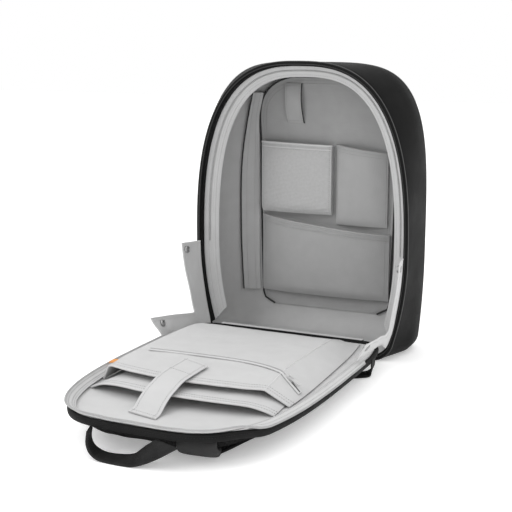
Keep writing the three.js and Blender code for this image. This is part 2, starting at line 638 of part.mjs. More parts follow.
// Closing strap over the laptop and tablet mouths, sewn to the panel's lining and pressed onto the pocket
const STRAP = { half: 21, x: -15.5, skew: 10, thickness: 1.6 };
const STRAP_ROWS = [
  { y: -426, z: 6.4 }, { y: -414, z: 8 }, { y: -402, z: 15.5 }, { y: -388, z: 22.5 },
  { y: -374, z: 27 }, { y: -352, z: 32.4 }, { y: -334, z: 33.6 }, { y: -308, z: 34.2 },
  { y: -284, z: 34.6 },
];
const strapGrid = STRAP_ROWS.map(({ y, z }) => [-1, 0, 1].map((side) => {
  return vector(STRAP.x + side * STRAP.half, y - side * STRAP.skew, z);
}));
add(panel, 'closing_strap', sheet(strapGrid, STRAP.thickness), 'light_grey');

// Small folded tab in the pocket's left seam
const TAB = { along: 0.88, length: 14, half: 0.02, thickness: 1.6, root: -131, arch: 1 };
const tabGrid = [0, 0.5, 1].map((share) => [-TAB.half, TAB.half].map((side) => {
  const root = onPocket(TAB.root, TAB.along + side, (CLOTH + TAB.thickness) / 2);
  return vector(root.x - TAB.length * share, root.y, root.z + TAB.arch * Math.sin(Math.PI * share));
}));
add(panel, 'pocket_tab', sheet(tabGrid, TAB.thickness), 'tab_orange');

// Grab handle: a loop of webbing hanging from the panel's far edge to the ground. It turns from edge-on to
// face-on along its length, its left end swings towards the hinge, and its right end is cut skew to meet
// the panel's edge.
const HANDLE = { half: 11, thickness: 3 };
const HANDLE_ROWS = [
  { x: -58, y: -549.5, z: 34, turn: 0, swing: 20, skew: 0 },
  { x: -59.5, y: -550, z: 22, turn: 0, swing: 20, skew: 0 },
  { x: -56, y: -551, z: 11.5, turn: 0, swing: 18, skew: 0 },
  { x: -46, y: -552, z: 5, turn: 1, swing: 10, skew: 0 },
  { x: -32, y: -552.5, z: 2.8, turn: 3, swing: 3, skew: 0 },
  { x: -16, y: -552.5, z: 3.2, turn: 6, swing: 0, skew: 0 },
  { x: 2, y: -552.5, z: 4, turn: 9, swing: 0, skew: 0 },
  { x: 8, y: -552.5, z: 5.8, turn: 13, swing: 0, skew: 0 },
  { x: 21, y: -552, z: 14, turn: 29, swing: 0, skew: 0 },
  { x: 34, y: -551.5, z: 22.6, turn: 42, swing: 0, skew: 2 },
  { x: 41, y: -551, z: 27.6, turn: 55, swing: 0, skew: 7 },
  { x: 47, y: -550.4, z: 32.4, turn: 72, swing: 0, skew: 12.6 },
];
const handleGrid = HANDLE_ROWS.map(({ x, y, z, turn, swing, skew }, i) => {
  const before = HANDLE_ROWS[Math.max(i - 1, 0)];
  const after = HANDLE_ROWS[Math.min(i + 1, HANDLE_ROWS.length - 1)];
  const angle = THREE.MathUtils.degToRad(turn);
  const run = vector(after.x - before.x, 0, after.z - before.z).normalize();
  const flat = vector(run.z, 0, -run.x).multiplyScalar(-Math.sin(angle));
  const swung = THREE.MathUtils.degToRad(swing);
  const level = vector(-Math.sin(swung), Math.cos(swung), 0).multiplyScalar(Math.cos(angle));
  const across = level.add(flat).multiplyScalar(HANDLE.half);
  across.addScaledVector(run, -skew);
  return [-1, 1].map((side) => vector(x, y, z).addScaledVector(across, side));
});
add(backpack, 'grab_handle', sheet(handleGrid, HANDLE.thickness), 'webbing_black');

// Shoulder straps folded under the panel, which rests on them. Each is padded down to its adjuster,
// and webbing runs on from there to an anchor in the panel's side seam near the hinge.
const SHOULDER_ROWS = [
  { y: -504, x: 55, width: 48, swell: 0.8 }, { y: -498, x: 56, width: 56, swell: 1 },
  { y: -440, x: 66, width: 63, swell: 1 }, { y: -380, x: 79, width: 65, swell: 1 },
  { y: -310, x: 92, width: 62, swell: 1 }, { y: -250, x: 98, width: 54, swell: 1 },
  { y: -212, x: 99, width: 46, swell: 0.94 }, { y: -204, x: 99, width: 40, swell: 0.55 },
];
const SHOULDER_SIDES = 12;
const SHOULDER_SQUARENESS = 0.5;
const padUnderside = (y) => PANEL_Z + (PANEL_Y - y) * PANEL_RISE + PAD[0].along;
function shoulderRing(row, side) {
  const ring = [];
  const top = padUnderside(row.y) - GAP;
  const squared = (value) => Math.sign(value) * Math.abs(value) ** SHOULDER_SQUARENESS;
  for (let i = 0; i < SHOULDER_SIDES; i += 1) {
    const turn = ((i + 0.5) / SHOULDER_SIDES) * 2 * Math.PI;
    const across = squared(Math.cos(turn)) * row.width / 2;
    const up = squared(Math.sin(turn));
    const height = up < 0 ? (1 + up) * top / 2 : mix(top / 2, top, up * row.swell);
    ring.push(vector(side * row.x + across, row.y, height));
  }
  return ring;
}
const WEB_HALF = 12.5;
const WEB_ROWS = [
  { x: 99, y: -178.5, z: 2.4, turn: 0 }, { x: 100, y: -164, z: 1.2, turn: 12 },
  { x: 110, y: -148, z: 1.2, turn: 38 }, { x: 130, y: -131, z: 1.2, turn: 50 },
  { x: 144, y: -122, z: 3, turn: 64 }, { x: 149, y: -120, z: 11, turn: 80 },
  { x: 150, y: -120, z: 27.4, turn: 84 },
];
const ADJUSTER = { x: 99, halfWidth: 17, start: -203, end: -179, height: 4.5, rim: 4, bar: 4 };
function adjusterGeometry() {
  const length = ADJUSTER.end - ADJUSTER.start;
  const wide = ADJUSTER.halfWidth;
  const frame = new THREE.Shape();
  frame.moveTo(-wide, 0);
  frame.lineTo(wide, 0);
  frame.lineTo(wide, length);
  frame.lineTo(-wide, length);
  const slot = (length - 3 * ADJUSTER.bar) / 2;
  for (const start of [ADJUSTER.bar, 2 * ADJUSTER.bar + slot]) {
    const opening = new THREE.Path();
    opening.moveTo(-wide + ADJUSTER.rim, start);
    opening.lineTo(-wide + ADJUSTER.rim, start + slot);
    opening.lineTo(wide - ADJUSTER.rim, start + slot);
    opening.lineTo(wide - ADJUSTER.rim, start);
    frame.holes.push(opening);
  }
  return new THREE.ExtrudeGeometry(frame, { depth: ADJUSTER.height, bevelEnabled: false });
}
for (const [sideName, side] of [['left', -1], ['right', 1]]) {
  const rings = SHOULDER_ROWS.map((row) => shoulderRing(row, side));
  add(backpack, `shoulder_strap_${sideName}`, skin(rings, false), 'air_mesh');
  const adjuster = add(backpack, `strap_adjuster_${sideName}`, adjusterGeometry(), 'plastic_black');
  adjuster.position.set(side * ADJUSTER.x, ADJUSTER.start, GAP);
  const web = WEB_ROWS.map(({ x, y, z, turn }) => [-1, 1].map((edge) => {
    const angle = THREE.MathUtils.degToRad(turn);
    return vector(side * (x + edge * WEB_HALF * Math.cos(angle)), y - edge * WEB_HALF * Math.sin(angle), z);
  }));
  add(backpack, `strap_webbing_${sideName}`, sheet(web, WEBBING), 'webbing_black');
}

export default backpack;
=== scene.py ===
"""Anti-theft backpack, standing open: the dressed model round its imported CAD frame.

Shapes are worked out in millimetres, in the part's own frame, and turned into metres where a mesh is made.
"""
import math

import bpy
import numpy as np
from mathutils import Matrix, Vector, noise


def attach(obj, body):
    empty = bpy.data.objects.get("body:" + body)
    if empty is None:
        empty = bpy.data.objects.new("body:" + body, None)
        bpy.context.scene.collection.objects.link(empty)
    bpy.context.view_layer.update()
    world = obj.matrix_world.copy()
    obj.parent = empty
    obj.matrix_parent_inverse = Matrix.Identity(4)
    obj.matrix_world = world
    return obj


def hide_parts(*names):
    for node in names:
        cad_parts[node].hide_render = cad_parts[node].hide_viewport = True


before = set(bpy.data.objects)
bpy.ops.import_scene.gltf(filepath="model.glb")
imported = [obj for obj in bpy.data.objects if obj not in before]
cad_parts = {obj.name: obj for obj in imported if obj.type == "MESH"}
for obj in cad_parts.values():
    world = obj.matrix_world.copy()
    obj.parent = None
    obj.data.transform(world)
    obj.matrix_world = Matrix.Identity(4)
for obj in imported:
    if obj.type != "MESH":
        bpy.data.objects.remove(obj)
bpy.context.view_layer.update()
scene = bpy.context.scene
MM = 0.001
WHITE = (1, 1, 1, 1)
SIDES = (("left", -1), ("right", 1))
SHELL_WALL, LINING_WALL, CLOTH, GAP, FLOOR_GAP = 3, 1.6, 1.5, 0.4, 0.1


def linked(name, data):
    obj = bpy.data.objects.new(name, data)
    scene.collection.objects.link(obj)
    return obj


def set_inputs(node, values):
    for socket, value in values.items():
        node.inputs[socket].default_value = value


# ---- camera and light
CAMERA = {"place": (0.62141, -1.5583, 0.49233), "azimuth": 24.65, "elevation": 11.77, "lens": 75.44}
camera_data = bpy.data.cameras.new("photo_camera")
camera_data.sensor_width = 36
camera_data.lens = CAMERA["lens"]
camera = linked("photo_camera", camera_data)
camera.location = CAMERA["place"]
camera.rotation_euler = (math.radians(90 - CAMERA["elevation"]), 0, math.radians(CAMERA["azimuth"]))
scene.camera = camera
scene.view_settings.view_transform = "Standard"

world = bpy.data.worlds.new("studio")
world.use_nodes = True
scene.world = world
set_inputs(world.node_tree.nodes["Background"], {"Color": WHITE, "Strength": 1.0})

# Softboxes: where each stands and aims, its size, all in metres, and its power
LIGHTS = {
    "key_light": ((-1.2, -1.9, 2.2), (0, -0.2, 0.1), 1.6, 22),
    "side_light": ((2.4, -0.9, 1.5), (0, -0.1, 0.2), 1.4, 1),
    "top_light": ((0.2, 0.3, 2.4), (0, -0.2, 0.1), 2.0, 9),
}
for name, (place, aim, size, power) in LIGHTS.items():
    light = bpy.data.lights.new(name, "AREA")
    light.size = size
    light.energy = power
    lamp = linked(name, light)
    lamp.location = place
    lamp.rotation_euler = (Vector(aim) - Vector(place)).to_track_quat("-Z", "Y").to_euler()


# ---- materials
RAMP = (0.3, 0.7)
WORN = {"spread": 1.7, "least": 0.88, "most": 1.1}
CREASE = {"size": 0.03, "depth": 0.003}
UNTINTED = (1, 1, 1)


def grey(value, tint):
    """Linear colour of an sRGB grey from 0 to 255, with a light tint."""
    share = value / 255
    linear = share / 12.92 if share < 0.04045 else ((share + 0.055) / 1.055) ** 2.4
    return (linear * tint[0], linear * tint[1], linear * tint[2], 1)


def add_node(tree, kind, values, links):
    node = tree.nodes.new(kind)
    set_inputs(node, values)
    for socket, source in links.items():
        tree.links.new(source, node.inputs[socket])
    return node


def waves(tree, vector, directions, pitch):
    """Sum of straight waves of one pitch, in metres, along the named axes."""
    total = None
    for direction in directions:
        wave = add_node(tree, "ShaderNodeTexWave", {"Scale": math.pi / (10 * pitch)}, {"Vector": vector})
        wave.bands_direction = direction
        height = wave.outputs["Fac"]
        if total is not None:
            add = add_node(tree, "ShaderNodeMath", {}, {0: total, 1: height})
            add.operation = "ADD"
            height = add.outputs[0]
        total = height
    return total


def blotches(tree, vector, size, detail):
    """Noise whose blotches are about size metres wide."""
    values = {"Scale": 1 / size, "Detail": detail}
    return add_node(tree, "ShaderNodeTexNoise", values, {"Vector": vector}).outputs["Fac"]


def bump(tree, height, strength, depth, under=None):
    links = {"Height": height} if under is None else {"Height": height, "Normal": under}
    return add_node(tree, "ShaderNodeBump", {"Strength": strength, "Distance": depth}, links).outputs["Normal"]


def ramp(tree, factor, *colours):
    node = add_node(tree, "ShaderNodeValToRGB", {}, {"Fac": factor})
    for element, place, colour in zip(node.color_ramp.elements, RAMP, colours):
        element.position = place
        element.color = colour
    return node.outputs["Color"]


def surface(name, low, high, rough, pitch, relief, axes="XYZ", blotch=0.02, crease=0.0, sheen=0.0, metal=0.0,
            specular=0.5, tints=(UNTINTED, UNTINTED)):
    """Woven or moulded surface between two greys, with threads of one pitch and soft creases as bump."""
    material = bpy.data.materials.new(name)
    material.use_nodes = True
    tree = material.node_tree
    shader = tree.nodes["Principled BSDF"]
    vector = tree.nodes.new("ShaderNodeTexCoord").outputs["Object"]
    set_inputs(shader, {"Metallic": metal, "Sheen Weight": sheen, "Specular IOR Level": specular})
    colour = ramp(tree, blotches(tree, vector, blotch, 6), grey(low, tints[0]), grey(high, tints[1]))
    worn = blotches(tree, vector, blotch * WORN["spread"], 3)
    least, most = rough * WORN["least"], min(rough * WORN["most"], 1)
    roughness = ramp(tree, worn, (least, least, least, 1), (most, most, most, 1))
    normal = None
    if crease:
        normal = bump(tree, blotches(tree, vector, CREASE["size"], 3), crease, CREASE["depth"])
    normal = bump(tree, waves(tree, vector, axes, pitch), relief, pitch / 3, normal)
    for socket, source in (("Base Color", colour), ("Roughness", roughness), ("Normal", normal)):
        tree.links.new(source, shader.inputs[socket])
    return material


# Two greys, roughness, thread pitch and relief of each surface
SOFT = {"sheen": 0.1, "specular": 0.3}
CREASED = {"crease": 0.07, **SOFT}
FINE = {"blotch": 0.004}
COATED = surface("coated_cloth", 22, 26, 0.56, 0.0011, 0.16, blotch=0.03, crease=0.06, specular=0.05)
BINDING = surface("binding_cloth", 12, 17, 0.66, 0.0012, 0.35, specular=0.12)
# The same black binding tape on the panel, made lighter as painted light on its lit front
PANEL_TAPE_PAINTED_LIGHT = surface("panel_tape_painted_light", 22, 28, 0.66, 0.0012, 0.35, specular=0.12)
AIR_MESH = surface("spacer_mesh", 20, 44, 0.9, 0.0032, 0.8, specular=0.03, **FINE)
WEBBING = surface("webbing_cloth", 33, 43, 0.7, 0.0016, 0.6, axes="XZ", specular=0.12)
# Black cloth of the strap ends, made lighter as painted light on their lit end faces
STRAP_END_PAINTED_LIGHT = surface("strap_cloth", 46, 54, 0.72, 0.0010, 0.25, crease=0.06, specular=0.12)
LINING = surface("lining_cloth", 163, 168, 0.82, 0.0010, 0.2, **CREASED)
# The same lining as above, made lighter on the shell's walls and sleeves as painted light
WALL_LINING_PAINTED_LIGHT = surface("wall_lining_painted_light", 182, 187, 0.82, 0.0010, 0.2, **CREASED)
COLLAR_CLOTH = surface("collar_cloth", 184, 189, 0.78, 0.0010, 0.2, **CREASED)
LIGHT = surface("light_cloth", 193, 197, 0.78, 0.0010, 0.2, **CREASED)
HEM = surface("hem_cloth", 200, 205, 0.75, 0.0012, 0.3, **SOFT)
# The same lining again, made darker on the organiser as painted shade
ORGANISER_LINING_PAINTED_SHADE = surface("organiser_lining_painted_shade", 156, 161, 0.82, 0.0010, 0.2, **CREASED)
NET = surface("pocket_net", 181, 189, 0.8, 0.0022, 0.5, **SOFT, **FINE)
ZIP_TAPE = surface("zip_tape", 176, 184, 0.7, 0.0009, 0.35, specular=0.3)
ZIP_TEETH = surface("zip_teeth", 140, 156, 0.4, 0.0011, 0.1, **FINE)
# Dark grey for piping and edges, darkened to stand as painted shade lines along gaps and edges
TRIM_AND_PAINTED_SHADE = surface("dark_trim_and_painted_shade", 50, 60, 0.7, 0.0010, 0.3, specular=0.2)
PIPING_GLOSS = surface("piping_cloth", 20, 26, 0.36, 0.0009, 0.1, specular=0.4)
# Lighter grey piping for the rim's outer corner: a painted highlight line
EDGE_PAINTED_HIGHLIGHT = surface("edge_piping_painted_highlight", 60, 68, 0.4, 0.0009, 0.1, specular=0.4)
METAL = surface("snap_metal_worn", 150, 176, 0.3, 0.0006, 0.08, metal=0.9, **FINE)
PULL_METAL = surface("pull_metal", 205, 222, 0.35, 0.0006, 0.08, metal=0.5, **FINE)
PLASTIC = surface("moulded_plastic", 18, 23, 0.42, 0.0007, 0.12, blotch=0.006, specular=0.3)
ORANGE_TINTS = ((1, 0.41, 0.11), (1, 0.45, 0.14))
ORANGE = surface("orange_ribbon", 217, 226, 0.75, 0.0009, 0.4, specular=0.2, tints=ORANGE_TINTS)
LIGHT_THREAD = surface("light_thread", 186, 196, 0.7, 0.0005, 0.3, **FINE)
GREY_THREAD = surface("grey_thread", 146, 160, 0.7, 0.0005, 0.3, **FINE)
BLACK_THREAD = surface("black_thread", 32, 42, 0.6, 0.0005, 0.3, specular=0.2, **FINE)
SHADE = surface("zip_gap_shade", 92, 104, 0.9, 0.0010, 0.1, specular=0.1)


# ---- mesh helpers
def mix(a, b, share):
    return a + (b - a) * share


def smooth(share):
    return share * share * (3 - 2 * share)


def unit(vectors):
    return vectors / np.maximum(np.linalg.norm(vectors, axis=-1, keepdims=True), 1e-9)


def steps(count):
    return np.linspace(0, 1, count)


def across_steps(count):
    return np.linspace(-1, 1, count)


def round_turns(count, shift=0.0):
    return (np.arange(count) + shift) / count * 2 * np.pi


def grid_of(x, y, z):
    """Grid of points from coordinates that broadcast together."""
    return np.stack(np.broadcast_arrays(x, y, z), axis=-1)


def normals_of(grid):
    return unit(np.cross(np.gradient(grid, axis=0), np.gradient(grid, axis=1)))


def turned(grid, axis, sign):
    """Normals of a grid, all turned to one side along an axis."""
    normals = normals_of(grid)
    return normals * (sign * np.sign(normals[..., axis:axis + 1]))


def pushed(grid, amount):
    """Grid moved along its normals."""
    return grid + normals_of(grid) * amount[..., None]


def shifted(grid, axis, amount):
    grid = grid.copy()
    grid[..., axis] += amount
    return grid


def curve(places, values, at):
    """Smooth curve through values at rising places, which keeps between its neighbours."""
    places, values, at = (np.asarray(item, float) for item in (places, values, at))
    slopes = np.diff(values) / np.diff(places)
    tangents = np.concatenate([[slopes[0]], (slopes[:-1] + slopes[1:]) / 2, [slopes[-1]]])
    turns = np.concatenate([[1], slopes[:-1] * slopes[1:], [1]])
    limit = 3 * np.minimum(
        np.abs(np.concatenate([[slopes[0]], slopes])), np.abs(np.concatenate([slopes, [slopes[-1]]]))
    )
    tangents = np.where(turns <= 0, 0, np.clip(tangents, -limit, limit))
    i = np.clip(np.searchsorted(places, at, side="right") - 1, 0, len(slopes) - 1)
    width = places[i + 1] - places[i]
    s = np.clip((at - places[i]) / width, 0, 1)
    return (
        values[i] * (1 + 2 * s) * (1 - s) ** 2
        + tangents[i] * width * s * (1 - s) ** 2
        + values[i + 1] * s * s * (3 - 2 * s)
        + tangents[i + 1] * width * s * s * (s - 1)
    )


def read_rows(rows, at):
    """Curves through the columns of a table, read at values of its first one."""
    return [curve(rows[:, 0], values, at) for values in rows.T[1:]]


def measured(path):
    return np.concatenate([[0], np.cumsum(np.linalg.norm(np.diff(path, axis=0), axis=1))])


def spline(points, count):
    """Evenly spaced points on a smooth curve through the given ones."""
    points = np.asarray(points, float)
    places = measured(points[:, :3])
    at = np.linspace(0, places[-1], count)
    return np.column_stack([curve(places, values, at) for values in points.T])


def rounded(points, times, closed=False):
    """Corner-cut copy of a polyline."""
    points = np.asarray(points, float)
    for _ in range(times):
        after = np.roll(points, -1, axis=0) if closed else points[1:]
        before = points if closed else points[:-1]
        cut = np.stack([mix(before, after, 0.25), mix(before, after, 0.75)], axis=1)
        cut = cut.reshape(-1, points.shape[1])
        points = cut if closed else np.vstack([points[:1], cut, points[-1:]])
    return points


def ripple(points, size, seed):
    """Smooth noise from -1 to 1 at each point, size being the width of a wave along each axis."""
    flat = np.asarray(points).reshape(-1, 3) / np.asarray(size, float) + seed * 7.31
    values = [noise.noise(Vector(point)) for point in flat]
    return np.array(values).reshape(np.asarray(points).shape[:-1])


def folds(points, *ripples):
    """Sum of ripples, each given by its height, its size and its seed."""
    return sum(height * ripple(points, size, seed) for height, size, seed in ripples)


def sheet_mesh(grid, thickness):
    rows, columns = grid.shape[:2]
    lift = normals_of(grid) * thickness / 2
    points = np.vstack([(grid + lift).reshape(-1, 3), (grid - lift).reshape(-1, 3)])
    index = np.arange(rows * columns).reshape(rows, columns)
    under = rows * columns
    a, b = index[:-1, :-1].ravel(), index[:-1, 1:].ravel()
    c, d = index[1:, 1:].ravel(), index[1:, :-1].ravel()
    rim = np.concatenate([index[0, :-1], index[:-1, -1], index[-1, :0:-1], index[:0:-1, 0]])
    after = np.roll(rim, -1)
    faces = np.vstack([
        np.column_stack([a, d, c, b]),
        np.column_stack([a, b, c, d]) + under,
        np.column_stack([rim, after, after + under, rim + under]),
    ])
    return points, faces.tolist()


def loft_mesh(rings, closed=False):
    """Skin through rings of equal count: closed joins the last to the first, or else fans close the ends."""
    rings = np.asarray(rings)
    rows, count = rings.shape[:2]
    points = rings.reshape(-1, 3)
    faces = []
    for row in range(rows if closed else rows - 1):
        here = np.arange(count) + row * count
        there = np.arange(count) + (row + 1) % rows * count
        faces += np.column_stack([here, np.roll(here, -1), np.roll(there, -1), there]).tolist()
    if not closed:
        points = np.vstack([points, rings[0].mean(axis=0), rings[-1].mean(axis=0)])
        first, last = np.arange(count), np.arange(count) + (rows - 1) * count
        hub = np.full(count, rows * count)
        faces += np.column_stack([np.roll(first, -1), first, hub]).tolist()
        faces += np.column_stack([last, np.roll(last, -1), hub + 1]).tolist()
    return points, faces


def tube_mesh(path, radius, sides=8, closed=False):
    path = np.asarray(path, float)
    if closed:
        tangents = unit(np.roll(path, -1, axis=0) - np.roll(path, 1, axis=0))
    else:
        tangents = unit(np.gradient(path, axis=0))
    side = unit(np.cross(tangents[0], (0.31, 0.52, 0.79)))
    rings = []
    turns = round_turns(sides)
    for point, tangent in zip(path, tangents):
        side = unit(side - tangent * side.dot(tangent))
        other = np.cross(tangent, side)
        rings.append(point + radius * (np.outer(np.cos(turns), side) + np.outer(np.sin(turns), other)))
    return loft_mesh(rings, closed)


def placed(path, values, at):
    """Values given at the points of a path, read at distances along it."""
    distance = measured(path)
    return np.column_stack([np.interp(at, distance, column) for column in values.T])


def beads(path, normals, pitch, corners, faces):
    """One small closed body for every pitch along a path, from corners in its frame: along, across, up."""
    path, normals = np.asarray(path, float), np.asarray(normals, float)
    total = measured(path)[-1]
    count = max(1, int(total // pitch))
    at = (np.arange(count) + 0.5) * total / count
    centre = placed(path, path, at)
    along = unit(placed(path, np.gradient(path, axis=0), at))
    up = placed(path, normals, at)
    up = unit(up - along * (up * along).sum(axis=1, keepdims=True))
    axes = np.stack([along, np.cross(up, along), up], axis=1)
    points = centre[:, None] + np.einsum("kc,ncj->nkj", np.asarray(corners, float), axes)
    shift = np.arange(count) * len(corners)
    return points.reshape(-1, 3), [[int(k + s) for k in face] for s in shift for face in faces]


STITCH_FACES = [(1, 2, 4), (2, 0, 4), (0, 3, 4), (3, 1, 4), (2, 1, 5), (0, 2, 5), (3, 0, 5), (1, 3, 5)]
BOX_FACES = [(0, 3, 2, 1), (4, 5, 6, 7), (0, 1, 5, 4), (1, 2, 6, 5), (2, 3, 7, 6), (3, 0, 4, 7)]
STITCH = {"pitch": 3.4, "half": 0.36}
TOOTH = {"foot": 0.34, "top": 0.22, "top_width": 0.42}


def stitches(path, normals, width=0.75, height=0.45):
    half = STITCH["pitch"] * STITCH["half"]
    corners = [
        (-half, 0, 0), (half, 0, 0), (0, width / 2, 0), (0, -width / 2, 0), (0, 0, height), (0, 0, -height),
    ]
    return beads(path, normals, STITCH["pitch"], corners, STITCH_FACES)


def teeth(path, normals, pitch, width, height):
    low = (pitch * TOOTH["foot"], width / 2, 0)
    high = (pitch * TOOTH["top"], width * TOOTH["top_width"], height)
    corners = []
    for along, across, up in (low, high):
        corners += [(-along, -across, up), (along, -across, up), (along, across, up), (-along, across, up)]
    return beads(path, normals, pitch, corners, BOX_FACES)


def merged(meshes):
    points, faces, shift = [], [], 0
    for some, corners in meshes:
        points.append(np.asarray(some))
        faces += [[k + shift for k in face] for face in corners]
        shift += len(some)
    return np.vstack(points), faces


def outward(points, faces):
    """The faces, turned over if they enclose a negative volume."""
    corners = [(f[0], f[i], f[i + 1]) for f in faces for i in range(1, len(f) - 1)]
    a, b, c = (points[[k[n] for k in corners]] for n in range(3))
    volume = (a * np.cross(b, c)).sum()
    return faces if volume >= 0 else [face[::-1] for face in faces]


def mesh_data(name, points, faces):
    points = np.asarray(points)
    data = bpy.data.meshes.new(name)
    data.from_pydata((points * MM).tolist(), [], outward(points, faces))
    return data


def piece(name, mesh, material, slot, replaced=(), sharp=40):
    data = mesh_data(name, *mesh)
    data.materials.append(material)
    data.shade_smooth()
    data.set_sharp_from_angle(angle=math.radians(sharp))
    obj = linked(name, data)
    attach(obj, "bag")
    if replaced:
        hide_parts(*replaced)
    return obj


def cloth(name, node, grid, material, slot, flat=None, thickness=CLOTH):
    """Sheet in place of a node; the flat grid from before slack is not used."""
    obj = piece(name, sheet_mesh(grid, thickness), material, slot, [node])
    flat = grid if flat is None else flat


def row(grid, share):
    place = share * (len(grid) - 1)
    i = min(int(place), len(grid) - 2)
    return mix(grid[i], grid[i + 1], place - i)


def column(grid, share):
    return row(np.swapaxes(grid, 0, 1), share)


SEWN = {"light": [], "grey": [], "black": []}


def sew(thread, path, normals, lift, **size):
    """Stitches along a path, on the side its normals point to."""
    SEWN[thread].append(stitches(path + normals * lift, normals, **size))


def sew_lines(thread, line, grid, normals, shares, lift, **size):
    """Stitches along rows or columns of a grid, at shares of its extent."""
    for share in shares:
        sew(thread, line(grid, share), line(normals, share), lift, **size)


def sew_front(path, lift):
    """Grey stitches on cloth that faces the shell's mouth."""
    sew("grey", path, np.tile((0, -1.0, 0), (len(path), 1)), lift)


# ---- shell
RIM = {
    "half": 176, "height": 450, "widest": 162, "taper": 29, "corner": 24, "side_power": 2.73, "top_power": 2.66,
}
PANEL = {
    "half": 152.5, "height": 474, "widest": 167, "taper": 3, "corner": 26, "side_power": 4.2, "top_power": 2.9,
}
ORGANISER = {
    "half": 117, "height": 386, "widest": 290, "taper": 6, "corner": 20, "side_power": 3, "top_power": 3,
}
SHELL = {
    "depth": 130, "swell_depth": 60, "squarer": 1.35, "taper_loss": 20, "drop": 8, "bulge": 2.3,
    "side_round": 49, "top_round": 46, "base_round": 28, "top_slope": 0.03,
}
SHELL_FRONT = {"outside": 3.6, "inside": 3, "lining": 3.2}
CROWN = {"shares": (0.9, 0.75, 0.55, 0.35, 0.15), "rise": 2.5}
COLLAR = [(7, 13.4), (13, 15.2), (20, 19.2), (27.5, 24.9)]
COLLAR_TOP = 0.8
STATIONS = [3, 7, 14, 24, 36, 48, 60, 72, 82, 90, 97, 103, 109, 114, 118.5, 122, 125, 127.3, 129, 129.8, 130]
RIM_Y = -50
PANEL_Y, PANEL_Z, PANEL_RISE = -75, 27.7, 0.0156
CORNER_STEPS, SIDE_STEPS, ARCH_STEPS = 10, 12, 40


def outline(size, side, top, base):
    """Outline of one half, from the right foot over the arch to the left foot, stepped in by three insets."""
    half, widest, corner = size["half"] - side, size["widest"], size["corner"]

    def side_at(t):
        return half - size["taper"] * ((widest - t) / widest) ** 2

    turn = np.arange(CORNER_STEPS) / CORNER_STEPS * np.pi / 2
    t = base + corner * (1 - np.cos(turn))
    foot = np.column_stack([side_at(t) - corner * (1 - np.sin(turn)), t])
    t = mix(base + corner, widest, np.arange(SIDE_STEPS) / SIDE_STEPS)
    wall = np.column_stack([side_at(t), t])
    turn = np.arange(ARCH_STEPS + 1) / ARCH_STEPS * np.pi / 2
    x = half * np.maximum(np.cos(turn), 1e-12) ** (2 / size["side_power"])
    x[-1] = 0
    rise = (size["height"] - top - widest) * np.sin(turn) ** (2 / size["top_power"])
    right = np.vstack([foot, wall, np.column_stack([x, widest + rise])])
    return np.vstack([right, right[-2::-1] * (-1, 1)])


def half_width(size, t):
    up = np.clip((t - size["widest"]) / (size["height"] - size["widest"]), 0, 1) ** size["top_power"]
    arch = size["half"] * (1 - up) ** (1 / size["side_power"])
    corner = size["corner"]
    turn = np.arccos(np.clip(1 - t / corner, 0, 1))
    rounding = np.where(t < corner, corner * (1 - np.sin(turn)), 0)
    wall = size["half"] - size["taper"] * ((size["widest"] - t) / size["widest"]) ** 2 - rounding
    return np.where(t > size["widest"], arch, wall)


def standing(points, depth):
    return np.column_stack([points[:, 0], np.full(len(points), RIM_Y + depth), points[:, 1]])


def in_shell(points):
    return np.asarray(points, float) + (0, RIM_Y, 0)


def on_panel(points):
    """Points of the lying panel, which rises a little towards its far end, in the part's frame."""
    points = np.asarray(points, float)
    x, y, z = points[..., 0], points[..., 1], points[..., 2]
    c, s = math.cos(PANEL_RISE), math.sin(PANEL_RISE)
    return np.stack([x, PANEL_Y + y * c + z * s, PANEL_Z - y * s + z * c], axis=-1)


def lying(points, height):
    return on_panel(np.column_stack([points[:, 0], -points[:, 1], np.full(len(points), height)]))


def even(size, inset):
    return outline(size, inset, inset, inset)


def back_round(station, radius):
    """How far the shell's edge has turned in at a depth, on its way round to the back."""
    past = max(0, station - SHELL["depth"] + radius)
    return radius - math.sqrt(radius ** 2 - past ** 2)


def shell_rings(offset, front):
    rings = []
    for i, station in enumerate(STATIONS):
        swell = min(1, station / SHELL["swell_depth"])
        size = dict(
            RIM, taper=RIM["taper"] - SHELL["taper_loss"] * swell, widest=RIM["widest"] - SHELL["drop"] * swell,
            side_power=RIM["side_power"] + SHELL["squarer"] * swell,
            top_power=RIM["top_power"] + SHELL["squarer"] * swell,
        )
        points = outline(
            size, back_round(station, SHELL["side_round"]) - SHELL["bulge"] * swell + offset,
            back_round(station, SHELL["top_round"]) + SHELL["top_slope"] * station + offset,
            back_round(station, SHELL["base_round"]) + offset,
        )
        rings.append(standing(points, front if i == 0 else station * (1 - offset / SHELL["depth"])))
    return np.array(rings)


def arch_band(size, profile, skipped, place, top_share=1.0):
    """Grid of a band along an outline: rows follow the outline, columns cross the band's profile."""
    strips = []
    for inset, along in profile:
        top = mix(COLLAR[0][0], inset, top_share)
        strips.append(place(outline(size, inset, top, inset), along)[skipped:-skipped])
    return np.stack(strips, axis=1)


def profile_points(profile, shares, lifts):
    """Points at shares of a profile's length, lifted to its open side."""
    profile = np.asarray(profile, float)
    at = np.asarray(shares) * measured(profile)[-1]
    points = placed(profile, profile, at)
    run = unit(placed(profile, np.gradient(profile, axis=0), at))
    return points + np.column_stack([run[:, 1], -run[:, 0]]) * np.asarray(lifts, float)[:, None]


